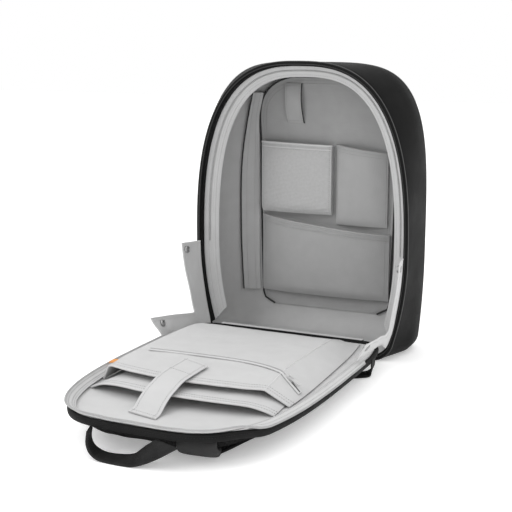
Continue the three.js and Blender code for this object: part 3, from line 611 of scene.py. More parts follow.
shell_out = shell_rings(0, SHELL_FRONT["outside"])
shell_in = shell_rings(SHELL_WALL, SHELL_FRONT["inside"])
SHELL_EDGE = [(3.9, 2.4), (4, 0.4), (3.5, -0.3), (2.6, -0.35), (1.5, 0), (0.6, 0.8), (0.1, 2)]
front_edge = [standing(even(RIM, inset), along) for inset, along in SHELL_EDGE]
back = shell_out[-1]
crown = [
    shifted(mix(back.mean(axis=0), back, share), 1, CROWN["rise"] * (1 - share ** 2))
    for share in CROWN["shares"]
]
moulded = loft_mesh(np.concatenate([shell_in[::-1], front_edge, shell_out, crown]))
piece("outer_shell_moulded", moulded, COATED, "coated_black", ["outer_shell"])

# Thin piping in the rim's face and round its outer corner, by inset, depth and radius, and a sewn seam. The
# outer piping is a lighter grey than the black shell: a painted highlight line
for name, material, inset, depth, radius in (
    ("rim_piping", PIPING_GLOSS, 4.3, -0.3, 0.85), ("rim_edge_piping", EDGE_PAINTED_HIGHLIGHT, -0.2, 2.4, 0.8),
):
    line = standing(even(RIM, inset), depth)
    line[:, 2] = np.maximum(line[:, 2], radius + FLOOR_GAP)
    piece(name, tube_mesh(line, radius, closed=True), material, "binding_black")
BACK_SEAM = {"station": 14, "radius": 0.6}
back_seam = tube_mesh(shell_out[BACK_SEAM["station"]][CORNER_STEPS:-CORNER_STEPS], BACK_SEAM["radius"], 6)
piece("shell_seams", back_seam, COATED, "binding_black")

RIM_BINDING = [(4.2, 2.6), (4.2, 0.4), (4.6, -0.4), (5.8, -0.4), (6.7, 0.6), (6.4, 2.8)]
binding = [
    standing(outline(RIM, inset, inset, inset + 1), along) for inset, along in rounded(RIM_BINDING, 1, True)
]
piece("rim_binding_tape", loft_mesh(binding, True), BINDING, "binding_black", ["rim_binding"], sharp=60)
RIM_FACING = [(6.4, 2.2), (6.5, 4), (6.5, 8), (6.7, 12.2)]
cloth(
    "rim_facing_cloth", "rim_facing", arch_band(RIM, RIM_FACING, CORNER_STEPS, standing), BINDING,
    "binding_black", thickness=1.2,
)

LINING_SLACK = {"height": 0.7, "from": 10}
lining_out = shell_rings(SHELL_WALL + GAP, SHELL_FRONT["lining"])
lining_in = shell_rings(SHELL_WALL + GAP + LINING_WALL, SHELL_FRONT["lining"])
slack = LINING_SLACK["height"] * folds(lining_in, (1, (46, 46, 90), 1), (0.6, (22, 30, 40), 2))
lining_in = pushed(lining_in, slack * (np.array(STATIONS) > LINING_SLACK["from"])[:, None])
shell_lining = loft_mesh(np.concatenate([lining_in[::-1], lining_out]))
piece("shell_lining_cloth", shell_lining, WALL_LINING_PAINTED_LIGHT, "lining_grey", ["shell_lining"])

# Collar inside the rim: a light band in sewn strips, with the zip along its middle
COLLAR_SEAMS = np.array((0, 0.16, 0.3, 0.44, 0.62, 0.76, 1))
ZIP_STRIP, ZIP_SHARE = 2, 0.37
PILLOW = {"height": 0.5, "power": 0.4}
collar_profile = rounded(COLLAR, 2)


def collar_band(shares, lifts, skipped=CORNER_STEPS + SIDE_STEPS):
    return arch_band(RIM, profile_points(collar_profile, shares, lifts), skipped, standing, COLLAR_TOP)


shares = steps(49)
strip = np.clip(np.searchsorted(COLLAR_SEAMS, shares, side="right") - 1, 0, len(COLLAR_SEAMS) - 2)
starts, ends = COLLAR_SEAMS[strip], COLLAR_SEAMS[strip + 1]
pillow = np.sin(np.pi * (shares - starts) / (ends - starts)).clip(0) ** PILLOW["power"]
pillow = pillow * np.where(strip == ZIP_STRIP, 0, PILLOW["height"])
flat = collar_band(shares, pillow, CORNER_STEPS)
collar = pushed(flat, folds(flat, (0.35, 30, 3), (0.15, 11, 4)) * np.sin(np.pi * shares))
cloth(
    "rim_collar_cloth", "rim_collar", collar, COLLAR_CLOTH, "light_grey",
    flat,
)
sew_lines("grey", column, collar, turned(collar, 1, -1), (0.3, 0.76), 0.85, width=0.5, height=0.3)
tape = collar_band((0.31, ZIP_SHARE, 0.43), (1.3, 1.4, 1.3))
piece("shell_zip_tape", sheet_mesh(tape, 0.7), ZIP_TAPE, "zip_grey", ["shell_zip_chain"])
tooth_path, tooth_top = (collar_band((ZIP_SHARE, ZIP_SHARE), (lift, lift))[:, 0] for lift in (1.7, 2.7))
zip_teeth = teeth(tooth_path, unit(tooth_top - tooth_path), pitch=2.0, width=2.2, height=0.7)
piece("shell_zip_teeth", zip_teeth, ZIP_TEETH, "zip_grey")


# ---- organiser
ORGANISER_FOOT, ORGANISER_DEPTH, LEAN, LEAN_FROM, LEAN_TO = 40, 123.6, 16.6, 310, 424
ORGANISER_ROWS = {"count": 61, "reach": 0.992, "power": 1.5}
ORGANISER_SEAMS = {"insets": (6, 10.5), "arch_from": 330, "arch_over": 90}


def organiser_depth(z):
    return ORGANISER_DEPTH - LEAN * smooth(np.clip((z - LEAN_FROM) / (LEAN_TO - LEAN_FROM), 0, 1))


t = 1 - (1 - steps(ORGANISER_ROWS["count"])) ** ORGANISER_ROWS["power"]
t = ORGANISER["height"] * ORGANISER_ROWS["reach"] * t
z = (ORGANISER_FOOT + t)[:, None]
across = across_steps(33)
flat = in_shell(grid_of(np.outer(half_width(ORGANISER, t), across), organiser_depth(z), z))
organiser = shifted(flat, 1, folds(flat, (0.8, (60, 60, 80), 5)) * (1 - across ** 6))
cloth(
    "organiser_cloth", "organiser_panel", organiser, ORGANISER_LINING_PAINTED_SHADE, "lining_grey",
    flat,
)
# Piping round the organiser: a real piped seam, darkened as painted shadow of the gap along its edge
edge = np.vstack([organiser[:, 0], organiser[-1, 1:-1], organiser[::-1, -1]])
piece("organiser_piping", tube_mesh(edge - (0, 1.2, 0), 1.5), TRIM_AND_PAINTED_SHADE, "lining_grey")
arched = np.clip((edge[:, 2] - ORGANISER_SEAMS["arch_from"]) / ORGANISER_SEAMS["arch_over"], 0, 1)
for inset in ORGANISER_SEAMS["insets"]:
    inside = edge.copy()
    inside[:, 0] -= np.sign(edge[:, 0]) * np.minimum(inset, np.abs(edge[:, 0]))
    inside[:, 2] -= arched * inset
    sew_front(inside, 1.3)

# Open pockets: ribs are extra lines in the hem, by their drop and radius
POCKETS = {
    "mesh_pocket": {
        "left": -110, "right": 13, "foot": 200, "hem_left": 316, "hem_right": 313, "edge": 13, "depth": 4,
        "foot_share": 0.7, "power": 2, "cloth": NET, "slot": "pocket_mesh", "hem": HEM, "ribs": [(7, 0.8)],
    },
    "slip_pocket": {
        "left": 19, "right": 106, "foot": 185, "hem_left": 314, "hem_right": 304, "edge": 4, "depth": 12,
        "foot_share": 0.5, "power": 2.4, "cloth": LINING, "slot": "lining_grey", "hem": LINING, "ribs": [],
    },
    "lower_pocket": {
        "left": -111, "right": 111, "foot": 64, "hem_left": 193, "hem_right": 172, "edge": 5, "depth": 22,
        "foot_share": 0.5, "power": 3, "cloth": LINING, "slot": "lining_grey", "hem": LINING,
        "ribs": [(6, 0.9), (11, 0.9)],
    },
}
POCKET_STEPS, POCKET_LEVELS = 36, steps(19)
POCKET_TUCK = {"share": 0.4, "level": 0.12}


def pocket_ring(pocket, level, inset):
    share = steps(POCKET_STEPS + 1)
    x = mix(pocket["left"] + inset, pocket["right"] - inset, share)
    hem = mix(pocket["hem_left"], pocket["hem_right"], share)
    z = mix(pocket["foot"] + inset, hem, level)
    back = organiser_depth(z) - CLOTH / 2 - 2 * GAP
    side = 1 - np.abs(2 * share - 1) ** pocket["power"]
    reach = pocket["edge"] + pocket["depth"] * mix(pocket["foot_share"], 1, level) * side
    reach = reach * (1 - POCKET_TUCK["share"] * max(0, 1 - level / POCKET_TUCK["level"]) ** 2)
    fronts = np.column_stack([x, back - reach + inset, z])
    fronts[:, 1] += 0.9 * side * level * ripple(fronts, (26, 60, 44), 6)
    backs = np.column_stack([x, back - inset, z])
    return in_shell(np.vstack([backs, fronts[::-1]]))


def pocket_line(pocket, level, forward=0.0):
    """Line round the front of a pocket at one level, from the organiser on the left to it on the right."""
    ring = pocket_ring(pocket, level, CLOTH / 2)
    fronts = ring[POCKET_STEPS + 1:][::-1] - (0, forward, 0)
    return np.vstack([ring[:1], fronts, ring[POCKET_STEPS:POCKET_STEPS + 1]])


for name, pocket in POCKETS.items():
    outside = [pocket_ring(pocket, level, 0) for level in POCKET_LEVELS]
    inside = [pocket_ring(pocket, level, CLOTH) for level in POCKET_LEVELS[::-1]]
    cup = piece(f"{name}_cloth", loft_mesh(outside + inside), pocket["cloth"], pocket["slot"], [name])
    high = pocket["hem_left"] - pocket["foot"]
    mouth = pocket_line(pocket, 1)
    ribs = [tube_mesh(pocket_line(pocket, 1 - drop / high, 0.6), radius, 6) for drop, radius in pocket["ribs"]]
    piece(f"{name}_hem", merged([tube_mesh(mouth, 1.6)] + ribs), pocket["hem"], pocket["slot"])
    for drop in (4, 9):
        sew_front(pocket_line(pocket, 1 - drop / high, 1.0)[1:-1], 0.2)
    for side in (1, POCKET_STEPS - 1):
        sew_front(np.array([ring[POCKET_STEPS + 1:][::-1][side] for ring in outside[1:]]), 0.3)

# Elastic loop for cables
LOOP = {"left": -66, "right": -38, "foot": 348, "top": 412, "rise": 7, "power": 0.7}
share = steps(25)[:, None]
z = mix(LOOP["foot"], LOOP["top"], share)
rise = LOOP["rise"] * np.maximum(np.sin(np.pi * share), 0) ** LOOP["power"]
depth = organiser_depth(z) - CLOTH - 2 * GAP - rise
loop = in_shell(grid_of(np.linspace(LOOP["left"], LOOP["right"], 9), depth, z))
cloth("cable_loop_band", "cable_loop", loop, LINING, "lining_grey")
# A dark tube along the loop's right edge is painted shadow of the gap beside it
piece("cable_loop_shadow_line", tube_mesh(loop[:, -1], 0.95), TRIM_AND_PAINTED_SHADE, "lining_grey")
for line, shares in ((row, (0.06, 0.94)), (column, (0.1, 0.9))):
    for share in shares:
        sew_front(line(loop, share), 1.0)

# Tall sleeves in the round sides, by height, sewn edge and free edge
SLEEVE_ROWS = np.array([
    (62, 118, 123, 145, 113), (140, 120, 123, 149, 113), (220, 120, 123, 150, 113),
    (290, 120, 123, 147, 113), (350, 118, 116, 137, 111), (396, 106, 107, 123, 101),
])
z = np.linspace(SLEEVE_ROWS[0, 0], SLEEVE_ROWS[-1, 0], 49)[:, None]
sewn_x, sewn_depth, free_x, free_depth = read_rows(SLEEVE_ROWS, z)
share = steps(11)
x = mix(sewn_x, free_x, share)
depth = mix(sewn_depth, free_depth, share) + np.sin(np.pi * share)
for side_name, side in SIDES:
    flat = in_shell(grid_of(side * x, depth, z))
    sleeve = shifted(flat, 1, folds(flat, (0.5, (30, 30, 60), 7)) * np.sin(np.pi * share))
    name = f"side_sleeve_{side_name}"
    cloth(
        f"{name}_cloth", name, sleeve, WALL_LINING_PAINTED_LIGHT, "lining_grey",
        flat,
    )
    # Its free edge as a dark tube: the sleeve's edge, darkened as painted shade along it
    piece(f"{name}_welt", tube_mesh(sleeve[:, -1] - (0, 0.6, 0), 1.2), TRIM_AND_PAINTED_SHADE, "lining_grey")
    sew_lines("grey", column, sleeve, turned(sleeve, 1, -1), (0.72, 0.28), 0.9)


# ---- hinge and gussets
HINGE_HALF = 118
HINGE_INSIDE = [(-44, 6.4), (-47.5, 11.8), (-54, 15), (-66, 28), (-70.5, 37.4), (-78, 39.2)]
HINGE_OUTSIDE = [(-51.5, 3.5), (-57, 6), (-66, 15), (-76, 26.7)]
for name, rows, material, slot, crumple, thread, facing in (
    ("hinge_lining", HINGE_INSIDE, LIGHT, "light_grey", 1.3, "light", 1),
    ("hinge_cover", HINGE_OUTSIDE, COATED, "coated_black", 0.4, "black", -1),
):
    line = spline([(0, y, z) for y, z in rows], 29)
    flat = grid_of(np.linspace(-HINGE_HALF, HINGE_HALF, 81), line[:, 1:2], line[:, 2:3])
    slack = crumple * folds(flat, (1, (17, 60, 60), 8), (0.5, (8, 30, 30), 9))
    grid = pushed(flat, slack * np.sin(np.pi * steps(29))[:, None])
    cloth(f"{name}_cloth", name, grid, material, slot, flat)
    sew_lines(thread, row, grid, turned(grid, 2, facing), (0.08, 0.9), 0.9)

# Sewn edge and free edge of the left gusset, mirrored for the right one but for its foot
GUSSET_ROWS = np.array([
    (169.5, -51.2, 163, 179, -95, 166), (168, -51.2, 130, 175, -93, 128), (163, -51.2, 90, 168, -90, 90),
    (156, -51.2, 50, 163, -89, 62), (149, -60, 26, 159, -95, 55), (151.6, -88, 33, 158.5, -108, 57),
    (152.9, -140, 34.5, 164, -150, 64), (153.7, -196, 35.5, 169.5, -212, 73),
])
GUSSET_RIGHT_FOOT = [(151, -88, 38), (151, -140, 42), (150, -194, 44)]
SNAP_PLACES = (("upper", 0, 1, 0.28, 0.8), ("lower", 7, 6, 0.3, 0.72))
SNAP_PROFILE = [
    (0.01, 0.5), (2.1, 0.5), (2.5, 0.9), (2.6, 2.4), (3.1, 2.9), (4.2, 2.9), (5.2, 2.2), (5.6, 1.3), (5.6, 0),
    (0.01, 0),
]
SNAP_DOME = [(5.2, 0), (5.2, 0.6), (4.4, 1.3), (2.6, 1.8), (0.6, 2.0)]
SNAP_LIFT, CAP_LIFT = CLOTH / 2 + 0.6, CLOTH / 2 + 0.4
turns = round_turns(32)
for side_name, side in SIDES:
    corners = GUSSET_ROWS.copy()
    if side > 0:
        corners[5:, :3] = GUSSET_RIGHT_FOOT
    lines = spline(corners, 73)
    sewn, free = lines[:, :3] * (side, 1, 1), lines[:, 3:] * (side, 1, 1)
    share = steps(15)
    flat = sewn[:, None] + (free - sewn)[:, None] * share[None, :, None]
    slack = folds(flat, (1, (30, 26, 30), 10 + side), (0.5, (14, 12, 14), 12))
    grid = pushed(flat, 1.1 * slack * np.sin(np.pi * share))
    name = f"gusset_{side_name}"
    cloth(
        f"{name}_cloth", name, grid, LIGHT, "light_grey",
        flat,
    )
    border = np.vstack([grid[0], grid[1:, -1], grid[-1, -2::-1]])
    piece(f"{name}_hem", tube_mesh(border, 1.25), HEM, "light_grey")
    inward = turned(grid, 0, -side)
    for share in (0.86, 0.12):
        for face in (inward, -inward):
            sew("light", column(grid, share), column(face, share), 0.9)
    corners = corners * (side, 1, 1, side, 1, 1)
    for place, first, toward, along, over in SNAP_PLACES:
        near = mix(corners[first, :3], corners[first, 3:], over)
        far = mix(corners[toward, :3], corners[toward, 3:], over)
        axis = unit(np.cross(far - near, corners[first, 3:] - corners[first, :3]))
        axis = -axis * np.sign(axis[0]) * side
        one = unit(np.cross(axis, (0, 0.3, 1)))
        disc = np.outer(np.cos(turns), one) + np.outer(np.sin(turns), np.cross(axis, one))
        snap = f"snap_{side_name}_{place}"
        base = mix(near, far, along) + axis * SNAP_LIFT
        rings = [base + radius * disc + axis * height for radius, height in SNAP_PROFILE]
        piece(f"{snap}_socket", loft_mesh(rings, True), METAL, "snap_metal", [snap], sharp=35)
        base = mix(near, far, along) - axis * CAP_LIFT
        rings = [base + radius * disc - axis * height for radius, height in SNAP_DOME]
        piece(f"{snap}_cap", loft_mesh(rings), METAL, "snap_metal", sharp=35)


# ---- back panel
PAD_DEPTH = 19
SWELLING = {"quality": 5, "mass": 0.3, "pressure": 4, "steps": 20}


def panel_ring(inset, height):
    return lying(even(PANEL, inset), height)


def pad_underside(y):
    return PANEL_Z + (PANEL_Y - y) * PANEL_RISE - PAD_DEPTH


def vertices_of(mesh):
    points = np.empty(len(mesh.vertices) * 3)
    mesh.vertices.foreach_get("co", points)
    return points.reshape(-1, 3) / MM


def inflated(name, mesh, voxel, cap, lowest, highest):
    """Closed pad swollen by cloth simulation: remeshed, pressed out from inside, held between two heights."""
    start = linked(f"{name}_start", mesh_data(f"{name}_start", *mesh))
    remesh = start.modifiers.new("remesh", "REMESH")
    remesh.mode = "VOXEL"
    remesh.voxel_size = voxel * MM
    graph = bpy.context.evaluated_depsgraph_get()
    even_mesh = bpy.data.meshes.new_from_object(start.evaluated_get(graph))
    bpy.data.objects.remove(start)
    pad = linked(f"{name}_sim", even_mesh)
    rest = vertices_of(even_mesh)
    corners = [list(face.vertices) for face in even_mesh.polygons]
    moved = rest
    settings = pad.modifiers.new("cloth", "CLOTH").settings
    settings.quality = SWELLING["quality"]
    settings.mass = SWELLING["mass"]
    settings.use_pressure = True
    settings.uniform_pressure_force = SWELLING["pressure"]
    settings.effector_weights.gravity = 0
    for step in range(SWELLING["steps"]):
        scene.frame_set(step + 1)
    graph = bpy.context.evaluated_depsgraph_get()
    moved = vertices_of(pad.evaluated_get(graph).to_mesh())
    pad.evaluated_get(graph).to_mesh_clear()
    scene.frame_set(1)
    shift = moved - rest
    length = np.linalg.norm(shift, axis=1, keepdims=True)
    moved = rest + shift * np.minimum(1, cap / np.maximum(length, 1e-6))
    moved[:, 2] = np.clip(moved[:, 2], lowest(moved[:, 1]), highest(moved[:, 1]))
    bpy.data.objects.remove(pad)
    return moved, corners


PAD = [(34, -18), (26, -17.4), (17, -12), (14, -6), (13.5, -1.4)]
PAD_LOWEST, PAD_HIGHEST = 0.1, 18.5
pad_start = loft_mesh([panel_ring(inset, height) for inset, height in rounded(PAD, 1)])
pad_mesh = inflated(
    "panel_pad", pad_start, voxel=6, cap=5, lowest=lambda y: pad_underside(y) + PAD_LOWEST,
    highest=lambda y: pad_underside(y) + PAD_HIGHEST,
)
pad = piece("panel_pad_mesh", pad_mesh, AIR_MESH, "air_mesh", ["panel_pad"], sharp=80)
pad.modifiers.new("smooth", "SUBSURF")

PANEL_BINDING = [(1, 0), (0, 2.5), (0, 8.5), (1, 10), (4.6, 10), (4.6, 0)]
EDGE_FALL = {"from": 60, "end": 440, "blend": 55, "reach": 120, "drop": 8}


def edge_fall(ring):
    """Share by which the panel's right edge has dropped at points of its outline."""
    along = np.clip(ring[:, 1] / EDGE_FALL["from"], 0, 1)
    before_end = np.clip((EDGE_FALL["end"] - ring[:, 1]) / EDGE_FALL["blend"], 0, 1)
    return smooth(along) * smooth(before_end) * smooth(np.clip(ring[:, 0] / EDGE_FALL["reach"], 0, 1))


def binding_ring(inset, height):
    ring = even(PANEL, inset)
    return lying(ring, height - EDGE_FALL["drop"] * edge_fall(ring))


binding = loft_mesh([binding_ring(inset, height) for inset, height in rounded(PANEL_BINDING, 1, True)], True)
piece("panel_binding_tape", binding, PANEL_TAPE_PAINTED_LIGHT, "binding_black", ["panel_binding"], sharp=60)
ring = binding_ring(-0.1, 6)
sew("black", ring, unit((ring - ring.mean(axis=0)) * (1, 1, 0)), 0.1)

# Lining over the panel's board, with slack in it, in rings that shrink to its middle
LINING_EDGE = [(5, 0), (5, 4.5), (5.6, 5.8)]
LINING_SHARES = (
    0.985, 0.965, 0.94, 0.91, 0.87, 0.82, 0.76, 0.7, 0.63, 0.56, 0.48, 0.4, 0.31, 0.21, 0.1, 0.02,
)
LINING_HEIGHT, LINING_RIPPLE, LINING_BLEND = 5.1, 0.5, 20
middle, edge = np.array((0, PANEL["height"] / 2)), even(PANEL, LINING_EDGE[0][0])
rings = [panel_ring(inset, height) for inset, height in LINING_EDGE]
for share in LINING_SHARES:
    ring = mix(middle, edge, share)
    slack = ripple(np.column_stack([ring, np.zeros(len(ring))]), (45, 26, 1), 13)
    rings.append(lying(ring, LINING_HEIGHT + LINING_RIPPLE * slack * min(1, (1 - share) * LINING_BLEND)))
piece("panel_lining_cloth", loft_mesh(rings), LIGHT, "light_grey", ["panel_lining"])

# Lip round the panel with the zip's other row of teeth on its edge: it stands, but hangs over the right edge
PANEL_LIP = [(9.5, 8), (4, 12), (-0.5, 15.5)]
LIP_HANGING = [(9.5, 6.8), (5, 8.8), (1.5, 9), (-1.2, 8), (-1.9, 6.6), (-2, 5.8)]
LIP_SKIP = CORNER_STEPS + SIDE_STEPS // 2
shares = steps(13)
lip_lift = -0.8 * np.abs(np.sin(2 * np.pi * shares)) * np.sin(np.pi * shares)
upright, hanging = (
    arch_band(PANEL, profile_points(rounded(profile, 2), shares, lift), LIP_SKIP, lying)
    for profile, lift in ((PANEL_LIP, lip_lift), (LIP_HANGING, 0 * shares))
)
flat = mix(upright, hanging, edge_fall(even(PANEL, 0)[LIP_SKIP:-LIP_SKIP])[:, None, None])
lip = pushed(flat, folds(flat, (0.9, 34, 14), (0.35, 13, 15)) * shares)
cloth(
    "panel_zip_lip_cloth", "panel_zip_lip", lip, LIGHT, "light_grey", flat,
)
up = normals_of(lip)
sew_lines("grey", column, lip, up * np.sign(up[..., 2].mean()), (0.16, 0.42, 0.8), 0.9)
rise = unit(lip[:, -1] - lip[:, -3])
zip_edge = lip[:, -1] + rise * 0.9
piece("panel_zip_cord", tube_mesh(zip_edge, 0.9), ZIP_TAPE, "zip_grey", ["panel_zip_chain"])
zip_teeth = teeth(zip_edge + rise * 0.3, rise, pitch=2.0, width=2.6, height=1.4)
piece("panel_zip_teeth", zip_teeth, ZIP_TAPE, "zip_grey")

# Laptop sleeve
LAPTOP = {
    "half": 130, "hinge_half": 104, "start": 22, "edge": 360, "bow": 21, "seat": 6.5, "rise": 13, "ramp": 1 / 3,
    "side_power": 6, "free": 6,
}
POCKET = {"half": 137, "start": 13, "edge": 320, "bow": 26, "seat": 6.8, "crown": 1.2, "crown_share": 0.25}


def bowed_edge(pocket, x):
    return pocket["edge"] + pocket["bow"] * (1 - (x / pocket["half"]) ** 2)


along, across = np.meshgrid(steps(61), np.sin(across_steps(61) * np.pi / 2), indexing="ij")
x = across * mix(LAPTOP["hinge_half"], LAPTOP["half"], along)
lift = np.sin(np.clip(along / LAPTOP["ramp"], 0, 1) * np.pi / 2)
height = LAPTOP["seat"] + LAPTOP["rise"] * (1 - np.abs(across) ** LAPTOP["side_power"]) * lift
flat = grid_of(x, -mix(LAPTOP["start"], bowed_edge(LAPTOP, x), along), height)
free = np.clip((1 - np.abs(across)) * LAPTOP["free"], 0, 1) * lift
slack = folds(flat, (1.4, (70, 34, 60), 16), (0.5, (24, 15, 30), 17))
laptop = on_panel(shifted(flat, 2, free * slack))
cloth(
    "laptop_sleeve_cloth", "laptop_sleeve", laptop, LIGHT, "light_grey",
    on_panel(flat),
)
piece("laptop_sleeve_hem", tube_mesh(laptop[-1], 1.4), HEM, "light_grey")
sew_lines("grey", row, laptop, turned(laptop, 2, 1), (0.965, 0.985), 0.95)

# Zipped pocket: share of its length, height, and where its left and right slopes start and end
POCKET_ROWS = np.array([
    (0, 7.6, -128, -114, 92, 118), (0.1, 18, -134, -120, 94, 122), (0.22, 27, -138, -125, 96, 126),
    (0.5, 29.5, -138, -126, 96, 131), (0.72, 30, -138, -126, 97, 134), (0.86, 29.4, -137, -126, 101, 135),
    (1, 27.5, -136, -125, 104, 134),
])
LEFT_BLEND, RIGHT_BLEND = 0.3, 0.05
LEFT_COLUMNS, TOP_COLUMNS, RIGHT_COLUMNS = 8, 48, 15
POCKET_LOOSE = {"sides": 30, "start": 6}


def soft_min(a, b, blend):
    h = np.clip(0.5 + (b - a) / (2 * blend), 0, 1)
    return mix(b, a, h) - blend * h * (1 - h)


def pocket_point(x, along):
    x, along = np.broadcast_arrays(np.asarray(x, float), np.asarray(along, float))
    top, left_foot, left_crease, right_crease, right_foot = read_rows(POCKET_ROWS, along)
    left = np.clip(soft_min((x - left_foot) / (left_crease - left_foot), 1.0, LEFT_BLEND), 0, 1)
    right = np.clip(soft_min((right_foot - x) / (right_foot - right_crease), 1.0, RIGHT_BLEND), 0, 1)
    crown = POCKET["crown"] * (1 - (x / POCKET["half"]) ** 2) * np.clip(along / POCKET["crown_share"], 0, 1)
    height = mix(POCKET["seat"], top + crown, np.minimum(left, right))
    return np.stack([x, -mix(POCKET["start"], bowed_edge(POCKET, x), along), height], axis=-1)


def pocket_normal(x, along):
    over = pocket_point(x + 1, along) - pocket_point(x - 1, along)
    down = pocket_point(x, along + 0.01) - pocket_point(x, along - 0.01)
    return unit(np.cross(down, over))


stops = steps(61)[:, None]
_, left_foot, left_crease, right_crease, right_foot = read_rows(POCKET_ROWS, stops)
x = np.hstack([
    mix(left_foot, left_crease, steps(LEFT_COLUMNS + 1)[:-1]),
    mix(left_crease, right_crease, steps(TOP_COLUMNS + 1)[:-1]),
    mix(right_crease, right_foot, steps(RIGHT_COLUMNS)),
])
flat = pocket_point(x, stops)
loose = np.clip((x - left_foot) / POCKET_LOOSE["sides"], 0, 1)
loose = loose * np.clip((right_foot - x) / POCKET_LOOSE["sides"], 0, 1)
loose = loose * np.clip(stops * POCKET_LOOSE["start"], 0, 1)
slack = folds(flat, (1.1, (60, 30, 60), 18), (0.45, (22, 13, 30), 19))
pocket_cloth = on_panel(shifted(flat, 2, loose * slack))
cloth(
    "zip_pocket_cloth", "zip_pocket", pocket_cloth, LIGHT, "light_grey",
    on_panel(flat),
)
up = turned(pocket_cloth, 2, 1)
piece("zip_pocket_hem", tube_mesh(pocket_cloth[-1], 1.4), HEM, "light_grey")
sew_lines("grey", row, pocket_cloth, up, (0.96, 0.982), 0.95)
pipings = [
    tube_mesh(pocket_cloth[:, k] + up[:, k] * lift, radius)
    for k, lift, radius in ((LEFT_COLUMNS + TOP_COLUMNS, 0.5, 1.0), (LEFT_COLUMNS, 0.3, 0.9))
]
piece("zip_pocket_piping", merged(pipings), HEM, "light_grey")

# Its zip: tape, teeth and two welts, open between the slider and the end
ZIP_ROWS = np.array([(-106, 249), (0, 246), (50, 249), (79, 257), (111, 273), (130, 281)])
TAPE_THICKNESS, TAPE_HALF, TAPE_INNER = 0.9, 0.0115, 0.004
ZIP_LIFT = CLOTH / 2 + 1.4 + TAPE_THICKNESS / 2
SLIDER_X, ZIP_END = 110, 129


def zip_line(x, side, lift):
    """Points and normals along the pocket's zip, beside its middle by a share of the pocket's length."""
    distance, = read_rows(ZIP_ROWS, x)
    along = (distance - POCKET["start"]) / (bowed_edge(POCKET, x) - POCKET["start"]) + side
    point, normal = pocket_point(x, along), pocket_normal(x, along)
    low, high = (on_panel(point + normal * height) for height in (lift, lift + 1))
    return low, high - low


def zip_band(x, sides, lift):
    return np.stack([zip_line(x, side, lift)[0] for side in sides], axis=1)


zip_x = np.linspace(ZIP_ROWS[0, 0], ZIP_ROWS[-1, 0], 119)
tape = zip_band(zip_x, (-TAPE_HALF, -TAPE_INNER, TAPE_INNER, TAPE_HALF), ZIP_LIFT)
piece("pocket_zip_tape", sheet_mesh(tape, TAPE_THICKNESS), HEM, "zip_grey", ["pocket_zip"])
path, normal = zip_line(zip_x[zip_x < SLIDER_X - 4], 0, ZIP_LIFT + TAPE_THICKNESS / 2)
piece("pocket_zip_teeth", teeth(path, normal, pitch=1.8, width=2.6, height=0.8), ZIP_TAPE, "zip_grey")
welts = [tube_mesh(zip_line(zip_x, side, ZIP_LIFT - 0.3)[0], 1.2) for side in (-TAPE_HALF, TAPE_HALF)]
piece("pocket_zip_welts", merged(welts), HEM, "light_grey")
# The open gap is a dark sheet: painted shade
gap = zip_band(np.linspace(SLIDER_X + 5, ZIP_END, 13), (-0.0045, 0, 0.0045), ZIP_LIFT + 0.55)
piece("pocket_zip_opening", sheet_mesh(gap, 0.4), SHADE, "zip_grey")

# Closing strap
STRAP = {"half": 21, "x": -15.5, "skew": 10, "foot_skew": 5, "thickness": 1.6, "crown": 0.5}
STRAP_ROWS = [
    (-426, 6.4), (-414, 8), (-402, 15.5), (-388, 22.5), (-374, 27), (-352, 32.4), (-334, 33.6), (-308, 34.2),
    (-284, 34.6),
]
line = spline([(0, y, z) for y, z in STRAP_ROWS], 49)
sides, share = across_steps(15), steps(49)[:, None]
y = line[:, 1:2] - sides * mix(STRAP["foot_skew"], STRAP["skew"], share)
z = line[:, 2:3] + STRAP["crown"] * (1 - sides ** 2) * share
strap = on_panel(grid_of(STRAP["x"] + sides * STRAP["half"], y, z))
cloth(
    "closing_strap_cloth", "closing_strap", strap, LIGHT, "light_grey",
    thickness=STRAP["thickness"],
)
up = turned(strap, 2, 1)
border = np.vstack([strap[:, 0], strap[-1, 1:], strap[-2::-1, -1]])
piece("closing_strap_hem", tube_mesh(border, 1.05), HEM, "light_grey")
sew_lines("grey", column, strap, up, (0.09, 0.91), 1.0)
sew_lines("grey", row, strap, up, (0.04, 0.7, 0.965), 1.0)

# Folded ribbon tab in the pocket's left seam
TAB = {"along": 0.88, "length": 14, "half": 0.02, "root": -131, "arch": 1, "lift": 1.6, "thickness": 1.6}
seam = np.full(7, TAB["root"]), TAB["along"] + across_steps(7) * TAB["half"]
x, y, z = (pocket_point(*seam) + pocket_normal(*seam) * TAB["lift"]).T
share = steps(13)[:, None]
tab = on_panel(grid_of(x - TAB["length"] * share, y, z + TAB["arch"] * np.sin(np.pi * share)))
cloth(
    "pocket_tab_ribbon", "pocket_tab", tab, ORANGE, "tab_orange",
    thickness=TAB["thickness"],
)

# ---- handle and straps
HANDLE = {"half": 11, "thickness": 3, "rows": 61}
